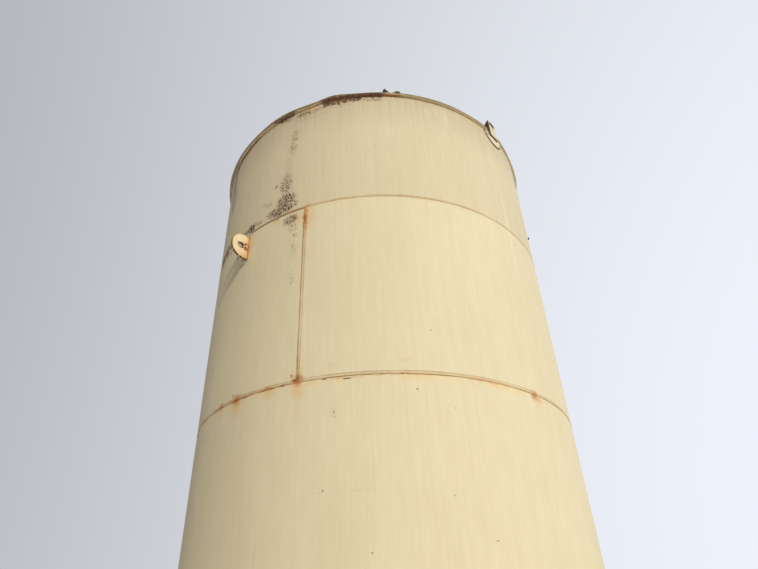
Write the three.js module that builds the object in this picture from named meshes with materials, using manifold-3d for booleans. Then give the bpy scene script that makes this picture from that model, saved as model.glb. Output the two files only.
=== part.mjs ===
// A welded steel storage tank: flat bottom, four rolled shell courses, a shallow cone roof, and the
// plates and necks that are welded to it. Millimetres, +Z up, with the origin at the middle of the
// underside of the bottom plate. An azimuth is in degrees from -Y, positive towards +X.
import * as THREE from "three";
import { mergeVertices } from "three/addons/utils/BufferGeometryUtils.js";
import Module from "manifold-3d";

const wasm = await Module();
wasm.setup();

const GAP = 0.3; // between pieces that the real tank has welded or bolted face to face
const FACETS = 80; // flats round the shell, so a flat is 4.5 degrees wide
const SEAT = 12; // a blank starts this far inside the shell, and is then cut back to its curve
const THROUGH = 400; // a cutter runs this far past a plate on both sides

const shell = {
  radius: 1562, // outside, for a tank 10 ft 3 in across
  plate: 6.35,
  courses: [1524, 1524, 1524, 1219], // three 5 ft plates and a 4 ft plate, from the ground up
  seams: [112, 248, -20.1, 160], // azimuth of each course's one vertical weld
  segments: 4, // solids to a course, parted at 45 degrees
};
const bottom = { plate: 6.35, chime: 20 };
const roof = { plate: 6.35, overhang: 32, rise: 130 };
const weld = { halfWidth: 10, proud: 2.8, leg: 8 };

const shellBase = bottom.plate;
const shellTop = shell.courses.reduce((height, course) => height + course, shellBase);
const roofSlope = roof.rise / shell.radius;

const lug = {
  azimuths: { lifting_lug_front: -42.6, lifting_lug_back: 137.4 },
  plate: 19,
  height: 230,
  straight: 48, // from the shell to where the round end begins
  hole: { radius: 25, reach: 82 },
  middle: shellTop - 1381, // just under the top girth weld
};
const eye = {
  azimuth: 50.5,
  plate: 12,
  left: -76,
  right: 50,
  low: shellTop - 45,
  high: shellTop + 160,
  corner: 26,
  slot: { middle: [-18, shellTop + 130], radius: 17, halfLength: 25 },
  pad: { radius: 150, plate: 10, middle: shellTop + 18, high: shellTop - 14 }, // a disc cut off under the roof
  gusset: { plate: 10, inset: 10, reach: 125, height: 154, toe: 12 },
};
const shellManway = {
  azimuth: 180,
  middle: 820,
  bore: 304.8,
  wall: 6.35,
  reach: 165, // from the shell to the face that the cover is bolted to
  inside: 40,
  flange: { radius: 381, plate: 12.7 },
  pad: { radius: 460, plate: 6.35 },
  cover: 12.7,
};
const outlet = {
  azimuth: 270,
  middle: 240,
  bore: 38.95,
  wall: 5.5,
  reach: 150,
  inside: 40,
  flange: { radius: 95, plate: 19 },
  blind: 19,
};
const roofManway = {
  azimuth: 168,
  fromAxis: 640,
  bore: 247.65,
  wall: 6.35,
  above: 150, // the rim, above the roof where the neck's middle stands
  below: 20,
  cover: { radius: 285, plate: 8, lip: 25 },
};
const roofNeck = {
  azimuth: 222,
  fromAxis: 1260,
  bore: 103.1,
  wall: 6.4,
  above: 140,
  below: 12,
  cap: { radius: 124, plate: 6, lip: 32 },
};

const enamel = { color: 0xd9cca4, roughness: 0.55, metalness: 0.0 };
const shadedEnamel = { color: 0xc9bd9a, roughness: 0.6, metalness: 0.0 };
const rustedWeld = { color: 0xb98a55, roughness: 0.8, metalness: 0.0 };
const rustedSteel = { color: 0x6f4a38, roughness: 0.85, metalness: 0.1 };
const paleEnamel = { color: 0xe2cf9f, roughness: 0.5, metalness: 0.0 };

const radians = THREE.MathUtils.degToRad;

function mesh(name, geometry, finish) {
  const made = new THREE.Mesh(geometry, new THREE.MeshStandardMaterial(finish));
  made.name = name;
  return made;
}

function solidOf(geometry) {
  const bare = geometry.clone();
  bare.deleteAttribute("normal");
  bare.deleteAttribute("uv");
  const merged = mergeVertices(bare, 1e-3);
  const vertProperties = new Float32Array(merged.attributes.position.array);
  const triVerts = new Uint32Array(merged.index.array);
  return new wasm.Manifold(new wasm.Mesh({ numProp: 3, vertProperties, triVerts }));
}

function geometryOf(solid) {
  const cut = solid.getMesh();
  const made = new THREE.BufferGeometry();
  made.setAttribute("position", new THREE.BufferAttribute(cut.vertProperties, 3));
  made.setIndex(new THREE.BufferAttribute(cut.triVerts, 1));
  made.computeVertexNormals();
  return made;
}

// A profile of [radius, height] points turned about Z.
function turned(profile, facets = FACETS) {
  const points = profile.map(([radius, height]) => new THREE.Vector2(radius, height));
  return new THREE.LatheGeometry(points, facets).rotateX(Math.PI / 2);
}

// A closed ring of the given outline, for example a weld bead.
function turnedRing(outline, facets = FACETS) {
  return turned([...outline, outline[0]], facets);
}

function disc(radius, low, high, facets = FACETS) {
  return turned([[0, low], [radius, low], [radius, high], [0, high]], facets);
}

// A plain pipe about Z, open at both ends.
function pipe(bore, wall, low, high, facets = 48) {
  return turnedRing([[bore, low], [bore + wall, low], [bore + wall, high], [bore, high]], facets);
}

// A rolled plate: an arc of the given radii, centred on -Y, extruded upwards from z = 0.
function rolledPlate(inner, outer, halfAngle, height, facets) {
  const from = radians(-90 - halfAngle);
  const to = radians(-90 + halfAngle);
  const outline = new THREE.Shape();
  outline.absarc(0, 0, outer, from, to, false);
  outline.absarc(0, 0, inner, to, from, true);
  return new THREE.ExtrudeGeometry(outline, {
    depth: height,
    bevelEnabled: false,
    curveSegments: facets / 2, // a shape gives an arc twice this many flats
  });
}

// A flat plate drawn as (reach, height), standing in the radial plane that holds -Y.
function radialPlate(outline, thickness) {
  const extrusion = { depth: thickness, bevelEnabled: false, curveSegments: 12 };
  const plate = new THREE.ExtrudeGeometry(outline, extrusion);
  plate.translate(0, 0, -thickness / 2);
  const outwards = new THREE.Vector3(0, -1, 0);
  const upwards = new THREE.Vector3(0, 0, 1);
  const across = new THREE.Vector3(-1, 0, 0);
  return plate.applyMatrix4(new THREE.Matrix4().makeBasis(outwards, upwards, across));
}

// The space that the shell fills, turned into the frame of a fitting at the given azimuth.
function shellSpace(azimuth, clearance, low = -100, high = shellTop + 1000) {
  return solidOf(disc(shell.radius + clearance, low, high).rotateZ(-radians(azimuth)));
}

function seatedOnShell(geometry, azimuth, clearance = GAP) {
  return geometryOf(solidOf(geometry).subtract(shellSpace(azimuth, clearance)));
}

// The frame of a fitting: its -Y points away from the axis at this azimuth.
function fittingFrame(azimuth, ...pieces) {
  const frame = new THREE.Group();
  frame.rotation.z = radians(azimuth);
  frame.add(...pieces);
  return frame;
}

// A solid turned about Z is laid down, so that it points away from the tank along -Y.
function laidDown(geometry, height) {
  return geometry.rotateX(Math.PI / 2).translate(0, 0, height);
}

function bottomPlate() {
  return mesh("bottom_plate", disc(shell.radius + bottom.chime, 0, bottom.plate), shadedEnamel);
}

function baseWeld() {
  const root = shell.radius + GAP;
  const floor = bottom.plate + GAP;
  const outline = [[root, floor], [root + weld.leg, floor], [root, floor + weld.leg]];
  return mesh("base_weld", turnedRing(outline), rustedWeld);
}

function courseBase(index) {
  return shell.courses.slice(0, index).reduce((height, course) => height + course, shellBase);
}

// The round hole that a neck needs through the shell, in the frame of the segment that it cuts.
function neckHole(neck, turn) {
  const radius = neck.bore + neck.wall + GAP;
  const cutter = laidDown(disc(radius, shell.radius - THROUGH, shell.radius + THROUGH, 48), neck.middle);
  return cutter.rotateZ(radians(neck.azimuth - turn));
}

function shellSegment(course, segment) {
  const turn = (360 / shell.segments) * segment;
  const halfAngle = 180 / shell.segments - THREE.MathUtils.radToDeg(GAP / 2 / shell.radius);
  const inner = shell.radius - shell.plate;
  const facets = FACETS / shell.segments;
  let plate = rolledPlate(inner, shell.radius, halfAngle, shell.courses[course], facets);
  const base = courseBase(course);
  for (const neck of [shellManway, outlet]) {
    const apart = Math.abs(((neck.azimuth - turn + 540) % 360) - 180);
    const reached = neck.middle > base && neck.middle < base + shell.courses[course];
    if (apart > halfAngle || !reached) continue;
    const hole = solidOf(neckHole(neck, turn).translate(0, 0, -base));
    plate = geometryOf(solidOf(plate).subtract(hole));
  }
  const made = mesh(`shell_course_${course + 1}_segment_${segment + 1}`, plate, enamel);
  made.rotation.z = radians(turn);
  made.position.z = base;
  return made;
}

function girthWeld(index) {
  const root = shell.radius + GAP;
  const crown = root + weld.proud;
  const shoulder = root + weld.proud * 0.6;
  const outline = [
    [root, -weld.halfWidth],
    [shoulder, -weld.halfWidth * 0.7],
    [crown, 0],
    [shoulder, weld.halfWidth * 0.7],
    [root, weld.halfWidth],
  ];
  const made = mesh(`girth_weld_${index}`, turnedRing(outline), rustedWeld);
  made.position.z = courseBase(index);
  return made;
}

function verticalWeld(course) {
  const fillet = weld.leg + 4 * GAP; // clears the welds at the floor and under the roof's edge
  const girth = weld.halfWidth + GAP;
  const atBase = course === 0 ? fillet : girth;
  const atTop = course === shell.courses.length - 1 ? fillet : girth;
  const height = shell.courses[course] - atBase - atTop;
  const depth = weld.proud + SEAT;
  const bead = new THREE.BoxGeometry(2 * weld.halfWidth, depth, height);
  bead.translate(0, -(shell.radius + weld.proud - depth / 2), courseBase(course) + atBase + height / 2);
  const azimuth = shell.seams[course];
  const made = mesh(`vertical_weld_${course + 1}`, seatedOnShell(bead, azimuth), rustedWeld);
  return fittingFrame(azimuth, made);
}

// The height of the roof plate's underside at a distance from the axis.
function roofUnderside(fromAxis) {
  return shellTop + GAP + (shell.radius - fromAxis) * roofSlope;
}

function roofTop(fromAxis) {
  return roofUnderside(fromAxis) + roof.plate;
}

function roofPlate() {
  const edge = shell.radius + roof.overhang;
  const cone = turned([
    [0, roofUnderside(0)],
    [edge, roofUnderside(edge)],
    [edge, roofTop(edge)],
    [0, roofTop(0)],
  ]);
  let plate = solidOf(cone);
  for (const neck of [roofManway, roofNeck]) {
    const hole = disc(neck.bore + neck.wall + GAP, shellTop - THROUGH, shellTop + THROUGH, 48);
    hole.translate(0, -neck.fromAxis, 0).rotateZ(radians(neck.azimuth));
    plate = plate.subtract(solidOf(hole));
  }
  const notch = new THREE.BoxGeometry(eye.right - eye.left + 2 * GAP, 2 * roof.overhang, 4 * roof.rise);
  notch.translate((eye.left + eye.right) / 2, -(shell.radius + GAP + eye.pad.plate + roof.overhang), shellTop);
  plate = plate.subtract(solidOf(notch.rotateZ(radians(eye.azimuth))));
  return mesh("roof_plate", geometryOf(plate), shadedEnamel);
}

function roofEdgeWeld() {
  const root = shell.radius + GAP;
  const top = roofUnderside(shell.radius + weld.leg) - GAP;
  const outline = [[root, top - weld.leg], [root + weld.leg, top], [root, top]];
  return mesh("roof_edge_weld", turnedRing(outline), rustedSteel);
}

// A D-shaped plate with a shackle hole, standing on its straight edge against the shell.
function liftingLug(name, azimuth) {
  const half = lug.height / 2;
  const start = shell.radius - SEAT;
  const roundFrom = shell.radius + lug.straight;
  const outline = new THREE.Shape();
  outline.moveTo(start, -half);
  outline.absarc(roundFrom, 0, half, -Math.PI / 2, Math.PI / 2, false);
  outline.lineTo(start, half);
  const hole = new THREE.Path();
  hole.absarc(shell.radius + lug.hole.reach, 0, lug.hole.radius, 0, 2 * Math.PI, true);
  outline.holes.push(hole);
  const plate = radialPlate(outline, lug.plate).translate(0, 0, lug.middle);
  return fittingFrame(azimuth, mesh(name, seatedOnShell(plate, azimuth), paleEnamel));
}

// An upright eye plate at the rim: a round-ended pad on the shell, the slotted plate in a notch of the
// roof's edge, and two gussets behind it.
function rimEye() {
  const { pad, gusset, slot } = eye;
  const blank = disc(pad.radius, shell.radius - THROUGH, shell.radius + THROUGH, 48);
  const padPlate = solidOf(laidDown(blank, pad.middle))
    .intersect(shellSpace(eye.azimuth, GAP + pad.plate, 0, pad.high))
    .subtract(shellSpace(eye.azimuth, GAP));

  const face = shell.radius + GAP + pad.plate + GAP;
  const outline = new THREE.Shape();
  outline.moveTo(eye.left, eye.low);
  outline.lineTo(eye.right, eye.low);
  outline.absarc(eye.right - eye.corner, eye.high - eye.corner, eye.corner, 0, Math.PI / 2, false);
  outline.lineTo(eye.left, eye.high);
  const [slotX, slotZ] = slot.middle;
  const hole = new THREE.Path();
  hole.absarc(slotX + slot.halfLength, slotZ, slot.radius, -Math.PI / 2, Math.PI / 2, false);
  hole.absarc(slotX - slot.halfLength, slotZ, slot.radius, Math.PI / 2, 1.5 * Math.PI, false);
  outline.holes.push(hole);
  const extrusion = { depth: eye.plate, bevelEnabled: false, curveSegments: 8 };
  const upright = new THREE.ExtrudeGeometry(outline, extrusion);
  upright.rotateX(Math.PI / 2).translate(0, -face, 0);

  const inner = face - GAP - gusset.reach;
  const outer = face - GAP;
  const web = new THREE.Shape();
  web.moveTo(inner, roofTop(inner) + GAP);
  web.lineTo(outer, roofTop(outer) + GAP);
  web.lineTo(outer, roofTop(outer) + gusset.height);
  web.lineTo(outer - gusset.toe, roofTop(outer) + gusset.height);
  web.lineTo(inner, roofTop(inner) + gusset.toe);
  const gussets = [eye.left + gusset.inset, eye.right - gusset.inset].map((offset, index) => {
    const geometry = radialPlate(web, gusset.plate).translate(offset, 0, 0);
    return mesh(`rim_eye_gusset_${index + 1}`, geometry, rustedSteel);
  });
  return fittingFrame(
    eye.azimuth,
    mesh("rim_eye_pad", geometryOf(padPlate), enamel),
    mesh("rim_eye_plate", upright, paleEnamel),
    ...gussets,
  );
}

// A wide neck through the shell with a bolting flange on its outer end, and a pad round its foot.
function manwayInShell() {
  const { azimuth, bore, wall, reach, inside, flange, pad, cover, middle } = shellManway;
  const outside = bore + wall;
  const innerEnd = shell.radius - shell.plate - inside;
  const rim = shell.radius + reach;
  const neck = turnedRing(
    [
      [bore, innerEnd],
      [outside, innerEnd],
      [outside, rim - flange.plate],
      [flange.radius, rim - flange.plate],
      [flange.radius, rim],
      [bore, rim],
    ],
    48,
  );
  const inner = outside + GAP;
  const ring = pipe(inner, pad.radius - inner, shell.radius - THROUGH, shell.radius + THROUGH);
  const padPlate = solidOf(laidDown(ring, middle))
    .intersect(shellSpace(azimuth, GAP + pad.plate, 0, shellTop))
    .subtract(shellSpace(azimuth, GAP));
  const coverPlate = disc(flange.radius, rim + GAP, rim + GAP + cover, 48);
  return fittingFrame(
    azimuth,
    mesh("shell_manway_neck", laidDown(neck, middle), enamel),
    mesh("shell_manway_pad", geometryOf(padPlate), enamel),
    mesh("shell_manway_cover", laidDown(coverPlate, middle), enamel),
  );
}

// A pipe with a slip-on flange round its end and a blind flange bolted over it.
function outletNozzle() {
  const { azimuth, bore, wall, reach, inside, flange, blind, middle } = outlet;
  const face = shell.radius + reach;
  const slip = bore + wall + GAP;
  const neck = pipe(bore, wall, shell.radius - shell.plate - inside, face);
  const collar = pipe(slip, flange.radius - slip, face - flange.plate, face);
  const plate = disc(flange.radius, face + GAP, face + GAP + blind, 48);
  return fittingFrame(
    azimuth,
    mesh("outlet_neck", laidDown(neck, middle), enamel),
    mesh("outlet_flange", laidDown(collar, middle), enamel),
    mesh("outlet_blind_flange", laidDown(plate, middle), rustedSteel),
  );
}

// A neck that stands up through the roof with a lipped lid over its rim.
function roofOpening(names, neck, lid) {
  const foot = roofUnderside(neck.fromAxis) - neck.below;
  const rim = roofTop(neck.fromAxis) + neck.above;
  const tube = pipe(neck.bore, neck.wall, foot, rim);
  const seat = rim + GAP;
  const cover = turned(
    [
      [0, seat],
      [lid.radius - lid.plate, seat],
      [lid.radius - lid.plate, seat - lid.lip],
      [lid.radius, seat - lid.lip],
      [lid.radius, seat + lid.plate],
      [0, seat + lid.plate],
    ],
    48,
  );
  const pieces = [mesh(names.neck, tube, enamel), mesh(names.cover, cover, shadedEnamel)];
  for (const piece of pieces) piece.position.y = -neck.fromAxis;
  return fittingFrame(neck.azimuth, ...pieces);
}

const tank = new THREE.Group();
tank.add(bottomPlate(), baseWeld());
for (let course = 0; course < shell.courses.length; course++) {
  for (let segment = 0; segment < shell.segments; segment++) tank.add(shellSegment(course, segment));
  tank.add(verticalWeld(course));
  if (course > 0) tank.add(girthWeld(course));
}
tank.add(roofPlate(), roofEdgeWeld());
for (const [name, azimuth] of Object.entries(lug.azimuths)) tank.add(liftingLug(name, azimuth));
tank.add(rimEye(), manwayInShell(), outletNozzle());
tank.add(roofOpening({ neck: "roof_manway_neck", cover: "roof_manway_cover" }, roofManway, roofManway.cover));
tank.add(roofOpening({ neck: "roof_neck", cover: "roof_neck_cap" }, roofNeck, roofNeck.cap));

export default tank;
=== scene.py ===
# A welded steel storage tank on a studio floor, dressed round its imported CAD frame.
# Metres, +Z up. An azimuth is in degrees from -Y, positive towards +X, as in the part's source.
from math import cos, dist, hypot, pi, radians, sin
import bmesh
import bpy
import numpy as np
from mathutils import Matrix, Vector


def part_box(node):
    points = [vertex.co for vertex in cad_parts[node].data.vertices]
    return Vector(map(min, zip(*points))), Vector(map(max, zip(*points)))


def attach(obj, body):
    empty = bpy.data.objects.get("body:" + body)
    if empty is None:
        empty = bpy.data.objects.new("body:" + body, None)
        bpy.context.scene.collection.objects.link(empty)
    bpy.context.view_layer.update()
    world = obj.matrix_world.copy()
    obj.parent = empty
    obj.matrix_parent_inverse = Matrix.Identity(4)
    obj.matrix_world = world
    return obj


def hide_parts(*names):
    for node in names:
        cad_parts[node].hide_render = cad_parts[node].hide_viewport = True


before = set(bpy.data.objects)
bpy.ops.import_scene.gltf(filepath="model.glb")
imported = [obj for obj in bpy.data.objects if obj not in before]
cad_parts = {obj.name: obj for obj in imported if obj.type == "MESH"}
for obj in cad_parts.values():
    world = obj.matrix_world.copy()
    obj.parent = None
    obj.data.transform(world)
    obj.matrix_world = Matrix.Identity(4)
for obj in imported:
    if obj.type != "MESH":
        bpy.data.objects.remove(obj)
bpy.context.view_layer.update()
mm = 0.001

tank = {
    "radius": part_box("shell_course_2_segment_2")[1].x,
    "plate": 6.35 * mm,
    "top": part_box("shell_course_4_segment_1")[1].z,
    "lows": [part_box(f"shell_course_{course}_segment_1")[0].z for course in (1, 2, 3, 4)],
    "weldAzimuths": [112, -112, -20.1, 160],  # the one vertical weld of each course, from the ground up
    "roofRise": 130 * mm,
    "roofGap": 0.3 * mm,
}
tank["seams"] = tank["lows"][1:]
tank["highs"] = tank["seams"] + [tank["top"]]
print("frame loaded, tank", round(2 * tank["radius"], 3), "m across and", round(tank["top"], 3), "m to its rim")


def linear(hexColour):
    # an sRGB hex colour as the linear values that the shaders take
    channels = [int(hexColour[at:at + 2], 16) / 255 for at in (1, 3, 5)]
    return (*[c / 12.92 if c <= 0.04045 else ((c + 0.055) / 1.055) ** 2.4 for c in channels], 1.0)


shellForm = {
    "seed": 11,
    "lobes": ((2, 1.5), (3, 1.1), (5, 0.8), (8, 0.5), (13, 0.35), (21, 0.2)),  # waves round, and mm each
    "twist": 1.4,  # how far a wave may turn for each metre of height, in radians
    "drawIn": 2.2 * mm,  # a girth weld pulls the plates in as it cools
    "drawInWidth": 60 * mm,
    "peak": 1.6 * mm,  # the rolls leave a plate's ends a little straight beside its vertical weld
    "peakWidth": 90 * mm,
    "peakFade": 150 * mm,  # towards the girth welds
    "columns": 360,
    "rows": 36,
}
draws = np.random.default_rng(shellForm["seed"])
formWaves = [
    (lobes, size * mm, draws.uniform(0, 2 * pi), draws.uniform(-1, 1) * shellForm["twist"])
    for lobes, size in shellForm["lobes"]
]


def shellSkin(azimuth, height):
    # the radius of the shell's outer face: a rolled tank is never quite round
    angle = np.radians(azimuth)
    radius = tank["radius"] + 0.0 * height  # one value for each height
    for lobes, size, phase, twist in formWaves:
        radius = radius + size * np.cos(lobes * angle + phase + twist * height)
    for seam in tank["seams"]:
        radius = radius - shellForm["drawIn"] * np.exp(-((height - seam) / shellForm["drawInWidth"]) ** 2)
    for low, high, weld in zip(tank["lows"], tank["highs"], tank["weldAzimuths"]):
        aside = np.radians((azimuth - weld + 180) % 360 - 180) * tank["radius"] / shellForm["peakWidth"]
        fade = shellForm["peakFade"]
        inCourse = np.clip((height - low) / fade, 0, 1) * np.clip((high - height) / fade, 0, 1)
        radius = radius + shellForm["peak"] * np.exp(-aside ** 2) * inCourse
    return radius


def onShell(azimuth, height, outwards=0.0):
    reach = shellSkin(azimuth, height) + outwards
    angle = np.radians(azimuth)
    return np.stack([reach * np.sin(angle), -reach * np.cos(angle), height + 0.0 * reach], axis=-1)


def roofTop(fromAxis):
    rise = (tank["radius"] - fromAxis) / tank["radius"] * tank["roofRise"]
    return tank["top"] + tank["roofGap"] + tank["plate"] + rise


def addObject(name, data):
    made = bpy.data.objects.new(name, data)
    bpy.context.scene.collection.objects.link(made)
    return made


def plainMesh(drawn):
    # what a curve, or an object with its modifiers, makes
    graph = bpy.context.evaluated_depsgraph_get()
    return bpy.data.meshes.new_from_object(drawn.evaluated_get(graph), depsgraph=graph)


def mergeDoubles(mesh, reach):
    work = bmesh.new()
    work.from_mesh(mesh)
    bmesh.ops.remove_doubles(work, verts=work.verts, dist=reach)
    work.to_mesh(mesh)
    work.free()


def smoothPiece(piece, crease=35):
    piece.data.shade_smooth()
    piece.data.set_sharp_from_angle(angle=radians(crease))


def makePiece(name, points, faces, finish, crease=35):
    mesh = bpy.data.meshes.new(name)
    mesh.from_pydata([tuple(point) for point in points], [], faces)
    mergeDoubles(mesh, 1e-6)  # closes the poles
    mesh.materials.append(finish)
    piece = addObject(name, mesh)
    smoothPiece(piece, crease)
    return piece


def settle(piece):
    # keeps what the modifiers make as a plain mesh
    made = plainMesh(piece)
    made.name = piece.name
    piece.modifiers.clear()
    piece.data = made
    return piece


def roundEdges(piece, width):
    bevel = piece.modifiers.new("edges", "BEVEL")
    bevel.width = width
    bevel.segments = 2
    bevel.limit_method = "ANGLE"
    bevel.angle_limit = radians(30)
    smoothPiece(settle(piece))


def ringPoints(outline, columns, radiusAt=None):
    # the outline's [radius, height] points turned about Z, None being the axis; with radiusAt the radii are
    # offsets from that skin
    azimuths = np.arange(columns) * 360 / columns
    rings = []
    for offset, height in outline:
        reach = 0 * azimuths
        if offset is not None:
            reach = offset + (radiusAt(azimuths, np.full(columns, height)) if radiusAt else reach)
        angle = np.radians(azimuths)
        rings.append(np.stack([reach * np.sin(angle), -reach * np.cos(angle), np.full(columns, height)], axis=1))
    return np.concatenate(rings)


def gridFaces(rings, columns, looped):
    # quads between rings; the first outline point is at the bottom of the outside
    faces = []
    for ring in range(rings if looped else rings - 1):
        above = (ring + 1) % rings
        for column in range(columns):
            aside = (column + 1) % columns
            faces.append((ring * columns + column, ring * columns + aside,
                          above * columns + aside, above * columns + column))
    return faces


def turnedPiece(name, outline, columns, finish, looped=True, radiusAt=None, crease=35):
    points = ringPoints(outline, columns, radiusAt)
    return makePiece(name, points, gridFaces(len(outline), columns, looped), finish, crease)


def joined(name, pieces):
    # several meshes as one piece, their materials kept
    work = bmesh.new()
    finishes = []
    for piece in pieces:
        mesh = piece.data
        slots = []
        for finish in mesh.materials:
            if finish not in finishes:
                finishes.append(finish)
            slots.append(finishes.index(finish))
        before = len(work.faces)
        work.from_mesh(mesh)
        work.faces.ensure_lookup_table()
        for face in work.faces[before:]:
            face.material_index = slots[face.material_index]
    whole = bpy.data.meshes.new(name)
    work.to_mesh(whole)
    work.free()
    for finish in finishes:
        whole.materials.append(finish)
    for piece in pieces:
        bpy.data.objects.remove(piece)
    return addObject(name, whole)


def drawnMesh(name, tracks, closed, **settings):
    # the mesh of a curve that runs straight from point to point; flat tracks have no height
    line = bpy.data.curves.new(name, "CURVE")
    for setting, value in settings.items():
        setattr(line, setting, value)
    for track in tracks:
        spline = line.splines.new("POLY")
        spline.points.add(len(track) - 1)
        for point, at in zip(spline.points, track):
            point.co = (*at, 0)[:3] + (1,)
        spline.use_cyclic_u = closed
    drawn = addObject(name, line)
    mesh = plainMesh(drawn)
    bpy.data.objects.remove(drawn)
    return mesh


def cutPlate(name, outlines, thickness, bevel, finish, edgeFinish=None):
    # a flame-cut plate in XY, its thickness along Z; the first outline runs anticlockwise, holes clockwise
    mesh = drawnMesh(name, outlines, True, dimensions="2D", fill_mode="BOTH", extrude=thickness / 2 - bevel,
                     bevel_depth=bevel, bevel_resolution=1, offset=-bevel)
    mergeDoubles(mesh, 1e-5)
    mesh.materials.clear()
    mesh.materials.append(finish)
    if edgeFinish:
        mesh.materials.append(edgeFinish)
        for face in mesh.polygons:
            face.material_index = int(abs(face.normal.z) < 0.9)  # all but the two flat faces
    piece = addObject(name, mesh)
    smoothPiece(piece)
    return piece


def arcPoints(centre, radius, start, end, count):
    angles = np.radians(np.linspace(start, end, count))
    return [(centre[0] + radius * cos(a), centre[1] + radius * sin(a)) for a in angles]


def straight(start, end, steps=10):
    return [tuple(a + (b - a) * step / steps for a, b in zip(start, end)) for step in range(steps + 1)]


# stands: a fitting's own axes, with -Y pointing away from the tank before its azimuth is applied
radialStand = Matrix(((0, 0, -1, 0), (-1, 0, 0, 0), (0, 1, 0, 0), (0, 0, 0, 1)))  # X out, Y up
tangentStand = Matrix(((1, 0, 0, 0), (0, 0, -1, 0), (0, 1, 0, 0), (0, 0, 0, 1)))  # X along the rim, Y up, Z out
laidDown = Matrix.Rotation(pi / 2, 4, "X")  # +Z turned to point out


def turnTo(azimuth):
    return Matrix.Rotation(radians(azimuth), 4, "Z")


def place(piece, *steps):
    # moves the mesh, not the object: the last step is the first one to be applied
    whole = Matrix.Identity(4)
    for step in steps:
        whole = whole @ step
    piece.data.transform(whole)
    return piece


def laidOut(neck):
    # the frame of a level neck: Z runs out from the tank's axis at the neck's own height
    return turnTo(neck["azimuth"]), Matrix.Translation((0, 0, neck["middle"])), laidDown


def stoodUp(neck):
    # the frame of a neck on the roof: Z runs up its own axis
    return turnTo(neck["azimuth"]), Matrix.Translation((0, -neck["fromAxis"], 0))


def finishPiece(piece, slot, *nodes):
    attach(piece, "root")
    if nodes:
        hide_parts(*nodes)


def addNode(tree, kind, links=None, output=0, **settings):
    # one node with its settings and links; gives back the output socket that is asked for
    node = tree.nodes.new(kind if "Node" in kind else "ShaderNode" + kind)
    for name, value in settings.items():
        setattr(node, name, value)
    for socket, value in (links or {}).items():
        if isinstance(value, bpy.types.NodeSocket):
            tree.links.new(value, node.inputs[socket])
        else:
            node.inputs[socket].default_value = value
    return node.outputs[output] if node.outputs else node


def startTree(name, sockets):
    # a geometry tree with named inputs, and the node that holds them
    tree = bpy.data.node_groups.new(name, "GeometryNodeTree")
    tree.interface.new_socket("Geometry", in_out="OUTPUT", socket_type="NodeSocketGeometry")
    tree.interface.new_socket("Geometry", in_out="INPUT", socket_type="NodeSocketGeometry")
    for socket, kind in sockets.items():
        tree.interface.new_socket(socket, in_out="INPUT", socket_type="NodeSocket" + kind)
    return tree, tree.nodes.new("NodeGroupInput")


def endTree(tree, shape, finish):
    real = addNode(tree, "GeometryNodeRealizeInstances", {0: shape})
    painted = addNode(tree, "GeometryNodeSetMaterial", {0: real, "Material": finish})
    addNode(tree, "NodeGroupOutput", {0: painted})


def grow(name, tree, source, sizes):
    # runs a tree on a mesh and keeps the result as a plain piece
    piece = addObject(name, source)
    modifier = piece.modifiers.new(tree.name, "NODES")
    modifier.node_group = tree
    for socket in tree.interface.items_tree:
        if socket.in_out == "INPUT" and socket.name in sizes:
            modifier[socket.identifier] = sizes[socket.name]
    return settle(piece)


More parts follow.
